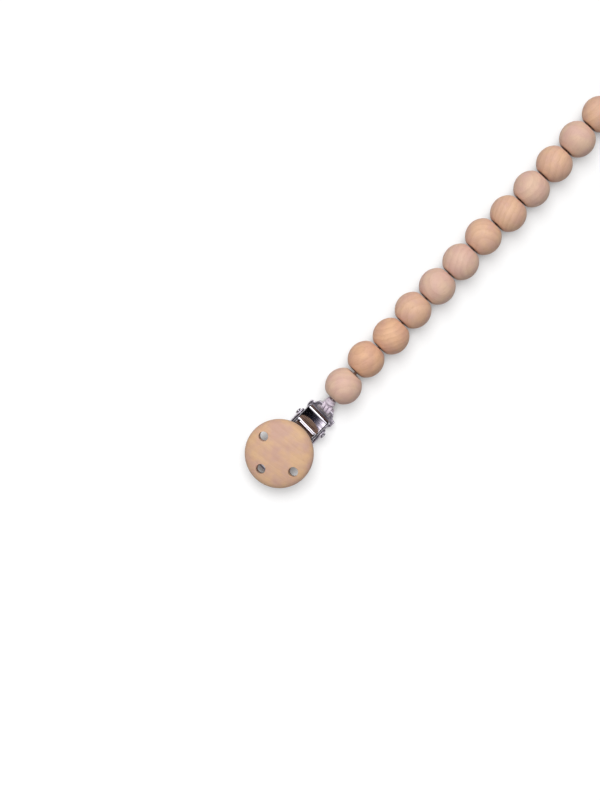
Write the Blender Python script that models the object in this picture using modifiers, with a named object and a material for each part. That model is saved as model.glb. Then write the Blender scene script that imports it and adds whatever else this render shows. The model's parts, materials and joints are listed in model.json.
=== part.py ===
"""Wooden pacifier chain: a sprung metal clip with a wooden disc, tied to a row of turned wooden beads.

Metres, +Z up. The chain lies on a table at z = 0 and runs along +X, with the clip at its -X end.
The clip is laid out in its own frame, whose origin is under the middle of the disc and whose +X
points from the disc to the strap loop.
"""

import math

import bmesh
import bpy
from mathutils import Matrix, Vector

# Fits and fineness
FIT = 0.0003
OVERRUN = 0.002
WELD = 0.000001
SEAM = 0.00005
ROUND_STEPS = 24

# How the clip lies against the line of beads
CLIP_YAW = math.radians(-2.2)
JAW_PITCH = math.radians(9.5)

# Wooden disc, by radius and by height above its underside
DISC_RADIUS = 0.0150
DISC_HEIGHT = 0.0083
DISC_FOOT_RADIUS = 0.0131
DISC_BELT_LOW = 0.0024
DISC_BELT_HIGH = 0.0036
DISC_DOME_POWER = 2.3
DISC_STEPS = 48
VENT_RADIUS = 0.00215
VENT_CIRCLE_RADIUS = 0.0100
VENT_TURN = math.radians(-4.5)
VENT_ANGLES = (math.radians(90.0), math.radians(180.0), math.radians(270.0))

# Rivet that holds the disc on the lever
RIVET_SHANK_RADIUS = 0.0011
RIVET_HEAD_RADIUS = 0.0020
RIVET_HEAD_HEIGHT = 0.0006
RIVET_GRIP = 0.0042

# Base plate, a steel stamping, along the clip and across it
BASE_SHEET = 0.0008
JAW_TIP_X = -0.0095
JAW_HALF_WIDTH = 0.0060
JAW_CORNER = 0.0025
EAR_START_X = 0.0132
EAR_THICKNESS = 0.0007
EAR_TOP_RADIUS = 0.0024
NECK_X = 0.0232
NECK_HALF_WIDTH = 0.0061
SHOULDER_X = 0.0251
SHOULDER_HALF_WIDTH = 0.0078
WAIST_X = 0.0269
WAIST_HALF_WIDTH = 0.0056
LOOP_BEND_X = 0.0208
LOOP_RISE = math.radians(24.5)
BAR_X = 0.0287
BAR_WIDTH = 0.0012
LOOP_END_HALF_WIDTH = 0.0051
SLOT_START_X = 0.0253
SLOT_START_HALF_WIDTH = 0.0058
SLOT_END_HALF_WIDTH = 0.0037
BEND_RUN = 0.0012
SHOULDER_ROUND = 0.0010
SLOT_HOLLOW = 0.0004

# Hinge pin and torsion spring
PIN_X = 0.0190
PIN_Z = 0.0046
PIN_RADIUS = 0.0009
PIN_HEAD_RADIUS = 0.0014
PIN_HEAD_HEIGHT = 0.0007
SPRING_WIRE = 0.0006
SPRING_RADIUS = 0.00175
SPRING_PITCH = 0.00105
SPRING_TURNS = 4.5
SPRING_POINTS_A_TURN = 10
SPRING_LEG = 0.0042

# Lever plate, a steel stamping that carries the disc
LEVER_SHEET = 0.0007
LEVER_TIP_X = -0.0090
LEVER_HALF_WIDTH = 0.0060
LEVER_UNDER_AT_VALLEY = 0.0069
VALLEY_START_X = 0.0169
VALLEY_END_X = 0.0176
VALLEY_BEND_RUN = 0.0006
TAIL_SLOPE = math.radians(25.5)
TAIL_CREST_X = 0.0230
CREST_RUN = 0.0010
TAIL_END_X = 0.0241
LIP_SLOPE = math.radians(-42.0)
TAIL_FLARE_X = 0.0214
TAIL_HALF_WIDTH = 0.0070
RIB_X = 0.0160
RIB_RADIUS = 0.00045
RIB_HALF_LENGTH = 0.0050
FLANGE_THICKNESS = 0.0006
FLANGE_START_X = 0.0148
FLANGE_RADIUS = 0.0027
EAR_CLEARANCE = 0.0004

# Toothed plastic pad in the lower jaw
INSERT_SET_BACK = 0.0005
INSERT_LENGTH = 0.0080
INSERT_HALF_WIDTH = 0.0054
INSERT_HEIGHT = 0.0007
INSERT_TEETH = 5
INSERT_TOOTH_HEIGHT = 0.0004
INSERT_PEG_RADIUS = 0.0012

# Cord and the knots in it
CORD_DIAMETER = 0.0015
CORD_GAP = 0.0003
NECK_GAP = 0.00045
WRAP_CORD = 0.0012
WRAP_TURNS = 3
WRAP_PITCH = 0.00166
WRAP_POINTS_A_TURN = 24
KNOT_RADIUS = 0.0024
KNOT_RING_HEIGHT = 0.0010
KNOT_TIP_RADIUS = 0.0020
KNOT_TIP_HEIGHT = 0.0005
NECK_DROP = 0.0008
NECK_SIDE = -0.0005
FIRST_GAP_RISE = 0.0003

# Wooden beads
BEAD_COUNT = 12
BEAD_DIAMETER = 0.0160
BEAD_GAP = 0.00055
FIRST_GAP_EXTRA = 0.00045
BEAD_BORE_RADIUS = 0.00175
BEAD_MOUTH_RADIUS = 0.0023
BEAD_CROWN_RADIUS = 0.0044
BEAD_CROWN_RISE = 0.00042
BEAD_CROWN_DROP = 0.00012
BEAD_MOUTH_DROP = 0.00025
BEAD_STEPS = 20
BEAD_RINGS = 8
BEAD_ONE_TILT = math.radians(-6.0)
BAR_TO_BEAD_ONE = 0.00427
# How far each bead sits across the cord's line, loose on its bore
BEAD_SWAY = (
    -0.0001, 0.0008, -0.0002, 0.0006, 0.0001, 0.0, 0.0004, -0.0006, -0.0006, -0.0003, -0.0002, 0.0001
)

# Cord loop behind the last bead: points along the chain, across it and above the table
LOOP_CORD = 0.0015
LOOP_ROUTE = (
    (0.0000, 0.0011, 0.0080),
    (0.0020, 0.0012, 0.0079),
    (0.0050, 0.0021, 0.0062),
    (0.0085, 0.0036, 0.0032),
    (0.0125, 0.0052, 0.0013),
    (0.0170, 0.0066, 0.00085),
    (0.0220, 0.0077, 0.00085),
    (0.0275, 0.0079, 0.00085),
    (0.0325, 0.0061, 0.00085),
    (0.0352, 0.0022, 0.00085),
    (0.0350, -0.0026, 0.00085),
    (0.0320, -0.0066, 0.00085),
    (0.0268, -0.0084, 0.00085),
    (0.0210, -0.0080, 0.00085),
    (0.0160, -0.0066, 0.00085),
    (0.0120, -0.0050, 0.0014),
    (0.0083, -0.0034, 0.0033),
    (0.0050, -0.0020, 0.0063),
    (0.0020, -0.0012, 0.0079),
    (0.0000, -0.0011, 0.0080),
)
LOOP_STEP = 0.0030
ROUTE_FINENESS = 24
FREE_CORD = ("end_knot", "end_loop")

# Spacing that follows from the sizes above
BALL_END = math.sqrt((BEAD_DIAMETER / 2) ** 2 - BEAD_CROWN_RADIUS**2)
BEAD_LENGTH = 2 * (BALL_END + BEAD_CROWN_RISE)
BEAD_PITCH = BEAD_LENGTH + BEAD_GAP
FIRST_PITCH = BEAD_PITCH + FIRST_GAP_EXTRA
DISC_TO_BEAD_ONE = BAR_X + BAR_TO_BEAD_ONE + BEAD_PITCH / 2

# Colours, linear, with roughness and metallic
FINISHES = {
    "disc_wood": ((0.72, 0.47, 0.30), 0.55, 0.0),
    "bead_wood": ((0.70, 0.44, 0.29), 0.60, 0.0),
    "plated_steel": ((0.62, 0.61, 0.63), 0.12, 1.0),
    "spring_steel": ((0.45, 0.45, 0.46), 0.30, 1.0),
    "jaw_plastic": ((0.80, 0.80, 0.80), 0.40, 0.0),
    "cord_cotton": ((0.76, 0.66, 0.76), 0.80, 0.0),
}

PARTS = "wooden_pacifier_chain"
CUTTERS = "cutters"


def clear_scene():
    for thing in list(bpy.data.objects):
        bpy.data.objects.remove(thing, do_unlink=True)
    for name in (PARTS, CUTTERS):
        group = bpy.data.collections.new(name)
        bpy.context.scene.collection.children.link(group)


def finish_material(slot):
    found = bpy.data.materials.get(slot)
    if found:
        return found
    colour, roughness, metallic = FINISHES[slot]
    material = bpy.data.materials.new(slot)
    material.use_nodes = True
    shader = material.node_tree.nodes["Principled BSDF"]
    shader.inputs["Base Color"].default_value = (*colour, 1.0)
    shader.inputs["Roughness"].default_value = roughness
    shader.inputs["Metallic"].default_value = metallic
    return material


def place(thing, parent, matrix=None):
    thing.parent = parent
    thing.matrix_local = matrix or Matrix.Identity(4)


def add_frame(name, parent=None, matrix=None):
    frame = bpy.data.objects.new(name, None)
    bpy.data.collections[PARTS].objects.link(frame)
    place(frame, parent, matrix)
    return frame


def add_piece(name, mesh, slot, parent, matrix=None):
    piece = bpy.data.objects.new(name, mesh)
    bpy.data.collections[PARTS].objects.link(piece)
    mesh.materials.clear()
    mesh.materials.append(finish_material(slot))
    mesh.shade_smooth()
    mesh.set_sharp_from_angle(angle=math.radians(35.0))
    place(piece, parent, matrix)
    return piece


def aimed(start, end):
    """A frame at start whose +Z points to end."""
    away = Vector(end) - Vector(start)
    turn = away.to_track_quat("Z", "Y").to_matrix().to_4x4()
    return Matrix.Translation(start) @ turn


def shifted(x=0.0, y=0.0, z=0.0):
    return Matrix.Translation((x, y, z))


# Meshes from Blender's modelling tools

def mesh_of(thing):
    """The evaluated mesh of a curve or a modified object, welded, with the object removed."""
    bpy.context.view_layer.update()
    graph = bpy.context.evaluated_depsgraph_get()
    mesh = bpy.data.meshes.new_from_object(thing.evaluated_get(graph))
    mesh.transform(thing.matrix_world)
    shape = bmesh.new()
    shape.from_mesh(mesh)
    bmesh.ops.remove_doubles(shape, verts=shape.verts, dist=WELD)
    bmesh.ops.recalc_face_normals(shape, faces=shape.faces)
    shape.to_mesh(mesh)
    shape.free()
    bpy.data.objects.remove(thing, do_unlink=True)
    return mesh


def outline_mesh(outlines, half_depth=0.0):
    """A filled flat outline in X and Y, extruded both ways along Z. Later outlines are holes."""
    curve = bpy.data.curves.new("outline", "CURVE")
    curve.dimensions = "2D"
    curve.fill_mode = "BOTH"
    curve.extrude = half_depth
    for points in outlines:
        spline = curve.splines.new("POLY")
        spline.points.add(len(points) - 1)
        for spot, (x, y) in zip(spline.points, points):
            spot.co = (x, y, 0.0, 1.0)
        spline.use_cyclic_u = True
    thing = bpy.data.objects.new("outline", curve)
    bpy.context.scene.collection.objects.link(thing)
    return mesh_of(thing)


def turned_mesh(profile, steps, closed=False):
    """A profile of (radius, height) points, running down the outer side, turned about Z."""
    mesh = bpy.data.meshes.new("profile")
    shape = bmesh.new()
    spots = [shape.verts.new((radius, 0.0, height)) for radius, height in profile]
    for a, b in zip(spots, spots[1:]):
        shape.edges.new((a, b))
    if closed:
        shape.edges.new((spots[-1], spots[0]))
    shape.to_mesh(mesh)
    shape.free()
    thing = bpy.data.objects.new("turned", mesh)
    bpy.context.scene.collection.objects.link(thing)
    screw = thing.modifiers.new("turn", "SCREW")
    screw.axis = "Z"
    screw.steps = steps
    screw.render_steps = steps
    screw.use_merge_vertices = True
    screw.merge_threshold = WELD
    return mesh_of(thing)


def tube_mesh(points, diameter, resolution=2):
    """A round tube with closed ends along a list of points."""
    curve = bpy.data.curves.new("tube", "CURVE")
    curve.dimensions = "3D"
    curve.bevel_depth = diameter / 2
    curve.bevel_resolution = resolution
    curve.use_fill_caps = True
    curve.twist_mode = "MINIMUM"
    spline = curve.splines.new("POLY")
    spline.points.add(len(points) - 1)
    for spot, point in zip(spline.points, points):
        spot.co = (*point, 1.0)
    thing = bpy.data.objects.new("tube", curve)
    bpy.context.scene.collection.objects.link(thing)
    return mesh_of(thing)


def combined(mesh, others, operation):
    """The mesh after an exact union with, or cut by, each (mesh, matrix) of others."""
    thing = bpy.data.objects.new("blank", mesh)
    bpy.context.scene.collection.objects.link(thing)
    tools = []
    for other, matrix in others:
        tool = bpy.data.objects.new("tool", other)
        bpy.data.collections[CUTTERS].objects.link(tool)
        tool.matrix_world = matrix
        tool.hide_render = True
        tool.display_type = "WIRE"
        tools.append(tool)
        step = thing.modifiers.new("join_or_cut", "BOOLEAN")
        step.operation = operation
        step.solver = "EXACT"
        step.object = tool
    result = mesh_of(thing)
    for tool in tools:
        bpy.data.objects.remove(tool, do_unlink=True)
    return result


def drill(radius, length, steps=16):
    """A round cutter about Z, centred on its origin."""
    mesh = bpy.data.meshes.new("drill")
    shape = bmesh.new()
    bmesh.ops.create_cone(
        shape, cap_ends=True, segments=steps, radius1=radius, radius2=radius, depth=length
    )
    shape.to_mesh(mesh)
    shape.free()
    return mesh


def mirrored(half):
    """A closed outline from its half on the +Y side, which runs from one end of X to the other."""
    return [*half, *((x, -y) for x, y in reversed(half))]


def arc(x, y, radius, start, end, steps):
    """Points on a circle in the plane of an outline, from one angle to another."""
    turns = (start + (end - start) * k / steps for k in range(steps + 1))
    return [(x + radius * math.cos(a), y + radius * math.sin(a)) for a in turns]


def folded_sheet(outlines, creases, thickness):
    """A bent sheet of even thickness, whose underside starts at z = 0 at the first crease.

    creases are (x, slope) pairs, and each slope holds up to the next crease.
    """
    mesh = outline_mesh(outlines, thickness / 2)
    shape = bmesh.new()
    shape.from_mesh(mesh)
    for x, _ in creases[1:]:
        bmesh.ops.bisect_plane(
            shape,
            geom=[*shape.verts, *shape.edges, *shape.faces],
            dist=WELD,
            plane_co=(x, 0.0, 0.0),
            plane_no=(1.0, 0.0, 0.0),
        )
    bmesh.ops.triangulate(shape, faces=shape.faces)
    for spot in shape.verts:
        x = spot.co.x
        ahead = sheet_height(creases, x + thickness / 2)
        behind = sheet_height(creases, x - thickness / 2)
        square = math.hypot(thickness, ahead - behind)
        spot.co.z = sheet_height(creases, x) + (square if spot.co.z > 0 else 0.0)
    shape.to_mesh(mesh)
    shape.free()
    return mesh


def sheet_height(creases, x):
    """How far a folded sheet's underside has risen at x."""
    height = 0.0
    ends = [end for end, _ in creases[1:]] + [math.inf]
    for (start, slope), end in zip(creases, ends):
        if x > start:
            height += (min(x, end) - start) * math.tan(slope)
    return height


def bend(x, run, before, after, steps=3):
    """Creases that turn a sheet from one slope to another, spread over a run about x."""
    return [
        (x + run * (k / (steps - 1) - 0.5), before + (after - before) * (k + 1) / steps)
        for k in range(steps)
    ]


def standing(y=0.0):
    """Turns an outline in X and Y into one in X and Z, at y."""
    return shifted(y=y) @ Matrix.Rotation(math.radians(90.0), 4, "X")


def tangent_angle(radius, away_x, away_z, side):
    """The angle on a circle where the line from a point outside it touches, on one of its two sides."""
    away = math.hypot(away_x, away_z)
    return (math.atan2(away_z, away_x) + side * math.acos(radius / away)) % (2 * math.pi)


# Where the pieces of the clip sit, in the clip's frame

EAR_INNER = LEVER_HALF_WIDTH + EAR_CLEARANCE
EAR_OUTER = EAR_INNER + EAR_THICKNESS
EAR_END_X = PIN_X + EAR_TOP_RADIUS
LOOP_END_X = BAR_X + BAR_WIDTH / 2
PIN_HALF_LENGTH = EAR_OUTER + FIT + PIN_HEAD_HEIGHT

BASE_CREASES = [(JAW_TIP_X, 0.0), *bend(LOOP_BEND_X, BEND_RUN, 0.0, LOOP_RISE)]
LEVER_CREASES = [
    (LEVER_TIP_X, JAW_PITCH),
    *bend(VALLEY_START_X, VALLEY_BEND_RUN, JAW_PITCH, 0.0),
    *bend(VALLEY_END_X, VALLEY_BEND_RUN, 0.0, TAIL_SLOPE),
    *bend(TAIL_CREST_X, CREST_RUN, TAIL_SLOPE, LIP_SLOPE),
]


def base_under(x):
    return sheet_height(BASE_CREASES, x)


def lever_under(x):
    at_valley = sheet_height(LEVER_CREASES, VALLEY_START_X)
    return LEVER_UNDER_AT_VALLEY - at_valley + sheet_height(LEVER_CREASES, x)


def bar_centre():
    middle = BASE_SHEET / (2 * math.cos(LOOP_RISE))
    return Vector((BAR_X, 0.0, base_under(BAR_X) + middle))


def disc_frame():
    """Under the middle of the disc's foot, with +Z square to the lever plate."""
    proud = LEVER_SHEET + FIT
    belt = (DISC_BELT_LOW + DISC_BELT_HIGH) / 2
    along = (belt + proud) * math.tan(JAW_PITCH)
    plane = shifted(z=lever_under(0.0)) @ Matrix.Rotation(-JAW_PITCH, 4, "Y")
    return plane @ shifted(x=along, z=proud)


# Clip pieces

def base_plate():
    """Stamped back plate: flat jaw, two ears for the pin, and the strap loop."""
    corner_y = JAW_HALF_WIDTH - JAW_CORNER
    shoulder_y = SHOULDER_HALF_WIDTH - SHOULDER_ROUND
    right = math.radians(90.0)
    plate = mirrored([
        *arc(JAW_TIP_X + JAW_CORNER, corner_y, JAW_CORNER, 2 * right, right, 4),
        (EAR_START_X - SEAM, JAW_HALF_WIDTH),
        (EAR_START_X - SEAM, EAR_OUTER + SEAM),
        (EAR_END_X + SEAM, EAR_OUTER + SEAM),
        (NECK_X, NECK_HALF_WIDTH),
        *arc(SHOULDER_X, shoulder_y, SHOULDER_ROUND, 1.7 * right, 0.1 * right, 5),
        (WAIST_X, WAIST_HALF_WIDTH),
        (LOOP_END_X - SHOULDER_ROUND, LOOP_END_HALF_WIDTH),
        (LOOP_END_X, LOOP_END_HALF_WIDTH - SHOULDER_ROUND),
    ])
    slot = mirrored([
        (SLOT_START_X, SLOT_START_HALF_WIDTH),
        (WAIST_X, (SLOT_START_HALF_WIDTH + SLOT_END_HALF_WIDTH) / 2 - SLOT_HOLLOW),
        (BAR_X - BAR_WIDTH / 2, SLOT_END_HALF_WIDTH),
    ])
    mesh = folded_sheet([plate, slot], BASE_CREASES, BASE_SHEET)
    foot = BASE_SHEET / 2
    top = tangent_angle(EAR_TOP_RADIUS, EAR_START_X - PIN_X, 2 * BASE_SHEET - PIN_Z, -1)
    ear = outline_mesh(
        [[
            (EAR_START_X, foot),
            (EAR_END_X, foot),
            *arc(PIN_X, PIN_Z, EAR_TOP_RADIUS, 0.0, top, 6),
            (EAR_START_X, 2 * BASE_SHEET),
        ]],
        EAR_THICKNESS / 2,
    )
    middle = (EAR_INNER + EAR_OUTER) / 2
    mesh = combined(mesh, [(ear, standing(side * middle)) for side in (1, -1)], "UNION")
    at_pin = shifted(x=PIN_X, z=PIN_Z) @ standing()
    hole = drill(PIN_RADIUS + FIT, 2 * (EAR_OUTER + OVERRUN))
    peg_hole = drill(INSERT_PEG_RADIUS + FIT, 2 * (BASE_SHEET + OVERRUN))
    return combined(mesh, [(hole, at_pin), (peg_hole, shifted(x=insert_middle()))], "DIFFERENCE")


def lever_plate():
    """Stamped front plate: it carries the disc and ends in the thumb tail."""
    corner_y = LEVER_HALF_WIDTH - JAW_CORNER
    right = math.radians(90.0)
    plate = mirrored([
        *arc(LEVER_TIP_X + JAW_CORNER, corner_y, JAW_CORNER, 2 * right, right, 4),
        (TAIL_FLARE_X, LEVER_HALF_WIDTH),
        (TAIL_CREST_X, TAIL_HALF_WIDTH),
        (TAIL_END_X - SHOULDER_ROUND / 2, TAIL_HALF_WIDTH),
        (TAIL_END_X, TAIL_HALF_WIDTH - SHOULDER_ROUND),
    ])
    mesh = folded_sheet([plate], LEVER_CREASES, LEVER_SHEET)
    mesh.transform(shifted(z=lever_under(LEVER_TIP_X)))
    end = PIN_X + FLANGE_RADIUS
    inside = [
        (x, lever_under(x) + LEVER_SHEET / 2)
        for x in (end, VALLEY_END_X, VALLEY_START_X, FLANGE_START_X)
    ]
    start = (FLANGE_START_X, lever_under(FLANGE_START_X) - FLANGE_THICKNESS)
    meets = tangent_angle(FLANGE_RADIUS, start[0] - PIN_X, start[1] - PIN_Z, 1)
    flange = outline_mesh(
        [[*inside, start, *arc(PIN_X, PIN_Z, FLANGE_RADIUS, meets, 2 * math.pi, 6)]],
        FLANGE_THICKNESS / 2,
    )
    middle = LEVER_HALF_WIDTH - SEAM - FLANGE_THICKNESS / 2
    rib_at = shifted(x=RIB_X, z=lever_under(RIB_X) + LEVER_SHEET / math.cos(JAW_PITCH))
    rib = (drill(RIB_RADIUS, 2 * RIB_HALF_LENGTH, 12), rib_at @ standing())
    flanges = [(flange, standing(side * middle)) for side in (1, -1)]
    mesh = combined(mesh, [*flanges, rib], "UNION")
    at_pin = shifted(x=PIN_X, z=PIN_Z) @ standing()
    hole = drill(PIN_RADIUS + FIT, 2 * (LEVER_HALF_WIDTH + OVERRUN))
    rivet_hole = drill(RIVET_SHANK_RADIUS + FIT, 2 * (LEVER_SHEET + FIT + OVERRUN))
    return combined(mesh, [(hole, at_pin), (rivet_hole, disc_frame())], "DIFFERENCE")


def wood_disc():
    """Turned disc with a domed top, a rounded belt, three vent holes and a blind rivet hole."""
    right = math.radians(90.0)
    dome = DISC_HEIGHT - DISC_BELT_HIGH
    power = 2 / DISC_DOME_POWER
    profile = [(0.0, DISC_HEIGHT)]
    for k in range(1, 9):
        a = right * (1 - k / 8)
        height = DISC_BELT_HIGH + dome * math.sin(a) ** power
        profile.append((DISC_RADIUS * math.cos(a) ** power, height))
    for k in range(0, 5):
        a = right * k / 4
        reach = DISC_RADIUS - DISC_FOOT_RADIUS
        profile.append((DISC_FOOT_RADIUS + reach * math.cos(a), DISC_BELT_LOW * (1 - math.sin(a))))
    profile.append((0.0, 0.0))
    mesh = turned_mesh(profile, DISC_STEPS)
    vent = drill(VENT_RADIUS, 2 * (DISC_HEIGHT + OVERRUN))
    out = shifted(x=VENT_CIRCLE_RADIUS)
    cutters = [(vent, Matrix.Rotation(turn + VENT_TURN, 4, "Z") @ out) for turn in VENT_ANGLES]
    cutters.append((drill(RIVET_SHANK_RADIUS + FIT, 2 * (RIVET_GRIP + FIT)), Matrix.Identity(4)))
    return combined(mesh, cutters, "DIFFERENCE")


def disc_rivet():
    """Rivet with its head under the lever plate and its shank in the disc."""
    seat = -(LEVER_SHEET + 2 * FIT)
    foot = seat - RIVET_HEAD_HEIGHT
    return turned_mesh(
        [
            (0.0, RIVET_GRIP),
            (RIVET_SHANK_RADIUS, RIVET_GRIP),
            (RIVET_SHANK_RADIUS, seat),
            (RIVET_HEAD_RADIUS, seat),
            (RIVET_HEAD_RADIUS, (seat + foot) / 2),
            ((RIVET_HEAD_RADIUS + RIVET_SHANK_RADIUS) / 2, foot),
            (0.0, foot),
        ],
        ROUND_STEPS,
    )


def insert_middle():
    return JAW_TIP_X + INSERT_SET_BACK + INSERT_LENGTH / 2


def jaw_insert():
    """Toothed plastic pad on the base plate's jaw, held by a peg in the plate."""
    start, end = JAW_TIP_X + INSERT_SET_BACK, JAW_TIP_X + INSERT_SET_BACK + INSERT_LENGTH
    foot = BASE_SHEET + FIT
    top = foot + INSERT_HEIGHT
    tooth = INSERT_LENGTH / INSERT_TEETH
    teeth = []
    for k in range(INSERT_TEETH):
        x = end - k * tooth
        teeth += [(x, top), (x - tooth / 2, top + INSERT_TOOTH_HEIGHT)]
    outline = [(start, foot), (end, foot), *teeth, (start, top)]
    mesh = outline_mesh([outline], INSERT_HALF_WIDTH)
    mesh.transform(standing())
    length = foot + INSERT_HEIGHT / 2 - FIT
    peg = drill(INSERT_PEG_RADIUS, length)
    return combined(mesh, [(peg, shifted(x=insert_middle(), z=FIT + length / 2))], "UNION")


def hinge_pin():
    """Plain pin, headed over at both ends."""
    inner = PIN_HALF_LENGTH - PIN_HEAD_HEIGHT
    rim = (PIN_HEAD_RADIUS + PIN_RADIUS) / 2
    half = [
        (0.0, PIN_HALF_LENGTH),
        (rim, PIN_HALF_LENGTH),
        (PIN_HEAD_RADIUS, (PIN_HALF_LENGTH + inner) / 2),
        (PIN_HEAD_RADIUS, inner),
        (PIN_RADIUS, inner),
    ]
    mesh = turned_mesh([*half, *((r, -z) for r, z in reversed(half))], ROUND_STEPS)
    mesh.transform(standing())
    return mesh


def winding(radius, pitch, turns, points_a_turn, start):
    """Points along turns about Y, clockwise as seen from -Y, centred on the origin."""
    steps = round(turns * points_a_turn)
    found = []
    for k in range(steps + 1):
        share = k / points_a_turn
        a = start - 2 * math.pi * share
        found.append(Vector((radius * math.cos(a), (share - turns / 2) * pitch, radius * math.sin(a))))
    return found


def say_least_gap(name, points, diameter):
    """Prints the least gap between turns of one tube, measured on its points."""
    apart = math.pi * diameter
    along = [0.0]
    for a, b in zip(points, points[1:]):
        along.append(along[-1] + (b - a).length)
    least = min(
        (a - b).length
        for i, a in enumerate(points)
        for j, b in enumerate(points)
        if along[j] - along[i] > apart
    )
    print(f"{name}: least gap to itself {1000 * (least - diameter):.2f} mm")


def torsion_spring():
    """Wire spring round the pin, with one leg on the base plate and one under the tail."""
    down = math.radians(-90.0)
    coil = winding(SPRING_RADIUS, SPRING_PITCH, SPRING_TURNS, SPRING_POINTS_A_TURN, down)
    low = base_under(PIN_X + SPRING_LEG) + BASE_SHEET / math.cos(LOOP_RISE) + FIT + SPRING_WIRE / 2
    high = lever_under(PIN_X + SPRING_LEG) - FIT - SPRING_WIRE
    first, last = coil[0], coil[-1]
    points = [
        Vector((SPRING_LEG, first.y, low - PIN_Z)),
        first + Vector((SPRING_WIRE, 0.0, 0.0)),
        *coil,
        last + Vector((2 * SPRING_WIRE, 0.0, 0.0)),
        Vector((SPRING_LEG, last.y, high - PIN_Z)),
    ]
    say_least_gap("torsion_spring", points, SPRING_WIRE)
    return tube_mesh(points, SPRING_WIRE, 1)


# Cord and knots

def wrap_radius():
    return math.hypot(BAR_WIDTH, BASE_SHEET) / 2 + FIT + WRAP_CORD / 2


def bar_wrap():
    """The cord's turns round the strap loop's bar, in one unbroken tube."""
    down = math.radians(-90.0)
    coil = winding(wrap_radius(), WRAP_PITCH, WRAP_TURNS, WRAP_POINTS_A_TURN, down)
    first = coil[0] + (coil[0] - coil[1]).normalized() * WRAP_CORD
    last = coil[-1] + (coil[-1] - coil[-2]).normalized() * WRAP_CORD
    points = [first, *coil, last]
    say_least_gap("bar_wrap", points, WRAP_CORD)
    return tube_mesh(points, WRAP_CORD, 1)


def knot_ring(radius, low, high, inner):
    """The outer side of one rounded turn of a knot, from its top down."""
    side = (high - low) / 2
    middle = (high + low) / 2
    turns = (math.radians(90.0 - 45.0 * k) for k in range(5))
    return [(max(inner, radius - side) + side * math.cos(a), middle + side * math.sin(a)) for a in turns]


def neck_knot(away):
    """Two rounded turns of knotted cord and the cord that leaves them, which ends away from the bar."""
    length = away.length
    lean = math.asin(abs(away.y) / length)
    wraps = wrap_radius() + WRAP_CORD / 2
    start = wraps * math.cos(lean) + KNOT_RADIUS * math.sin(lean) + FIT
    waist = start + KNOT_RING_HEIGHT
    top = waist + KNOT_TIP_HEIGHT
    cord = CORD_DIAMETER / 2
    end = length - NECK_GAP
    return turned_mesh(
        [
            (0.0, end),
            (cord, end),
            (cord, top),
            *knot_ring(KNOT_TIP_RADIUS, waist, top, cord),
            *knot_ring(KNOT_RADIUS, start, waist, cord),
            (0.0, start),
        ],
        ROUND_STEPS,
    )


def end_knot():
    """The stopper knot behind the last bead, two rounded turns long, along +Z from the last gap."""
    cord = CORD_DIAMETER / 2
    start = CORD_GAP / 2
    low = start + BEAD_GAP
    waist = low + KNOT_RING_HEIGHT
    top = waist + KNOT_RING_HEIGHT
    return turned_mesh(
        [
            (0.0, top),
            *knot_ring(KNOT_RADIUS, waist, top, cord),
            *knot_ring(KNOT_RADIUS, low, waist, cord),
            (cord, low),
            (cord, start),
            (0.0, start),
        ],
        ROUND_STEPS,
    )


def end_knot_length():
    return CORD_GAP / 2 + BEAD_GAP + 2 * KNOT_RING_HEIGHT


def smooth_route(route, step):
    """Evenly spaced points on a Catmull-Rom curve through a cord's own points."""
    spots = [Vector(point) for point in route]
    spots = [2 * spots[0] - spots[1], *spots, 2 * spots[-1] - spots[-2]]
    fine = []
    for a, b, c, d in zip(spots, spots[1:], spots[2:], spots[3:]):
        for k in range(ROUTE_FINENESS):
            t = k / ROUTE_FINENESS
            fine.append(
                b
                + (c - a) * (t / 2)
                + (2 * a - 5 * b + 4 * c - d) * (t * t / 2)
                + (3 * b - a - 3 * c + d) * (t**3 / 2)
            )
    fine.append(spots[-2])
    lengths = [(q - p).length for p, q in zip(fine, fine[1:])]
    count = round(sum(lengths) / step)
    found, gone, index = [fine[0]], 0.0, 0
    for k in range(1, count):
        target = sum(lengths) * k / count
        while gone + lengths[index] < target:
            gone += lengths[index]
            index += 1
        found.append(fine[index].lerp(fine[index + 1], (target - gone) / lengths[index]))
    return [*found, fine[-1]]


# Beads

def bead():
    """Turned bead with its bore along Z: a ball cut by two slightly crowned ends."""
    radius, half = BEAD_DIAMETER / 2, BEAD_LENGTH / 2
    crown = math.asin(BALL_END / radius)
    ball = []
    for k in range(BEAD_RINGS + 1):
        a = crown - 2 * crown * k / BEAD_RINGS
        ball.append((radius * math.cos(a), radius * math.sin(a)))
    middle = (BEAD_CROWN_RADIUS + BEAD_MOUTH_RADIUS) / 2
    end = [(BEAD_BORE_RADIUS, half - BEAD_MOUTH_DROP), (BEAD_MOUTH_RADIUS, half)]
    end.append((middle, half - BEAD_CROWN_DROP))
    return turned_mesh([*end, *ball, *((r, -z) for r, z in reversed(end))], BEAD_STEPS, True)


def bead_x(k):
    """Where bead k is along the chain from the disc's middle, counting from 1."""
    return DISC_TO_BEAD_ONE + (k > 1) * FIRST_PITCH + max(0, k - 2) * BEAD_PITCH


def bead_frame(k):
    """Bead k's middle, with +Z along its bore."""
    turn = math.radians(90.0) + (BEAD_ONE_TILT if k == 1 else 0.0)
    return shifted(bead_x(k), BEAD_SWAY[k - 1], BEAD_DIAMETER / 2) @ Matrix.Rotation(turn, 4, "Y")


def gap_point(k):
    """Where the cord bends before bead k, and after the last one."""
    half = (BEAD_LENGTH + BEAD_GAP) / 2
    if k == 1:
        spot = bead_frame(1) @ Vector((0.0, 0.0, -half))
        return Vector((spot.x, NECK_SIDE, spot.z - NECK_DROP))
    if k == 2:
        return Vector((bead_x(1) + FIRST_PITCH / 2, 0.0, BEAD_DIAMETER / 2 + FIRST_GAP_RISE))
    return Vector((bead_x(k - 1) + half, 0.0, BEAD_DIAMETER / 2))


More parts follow.
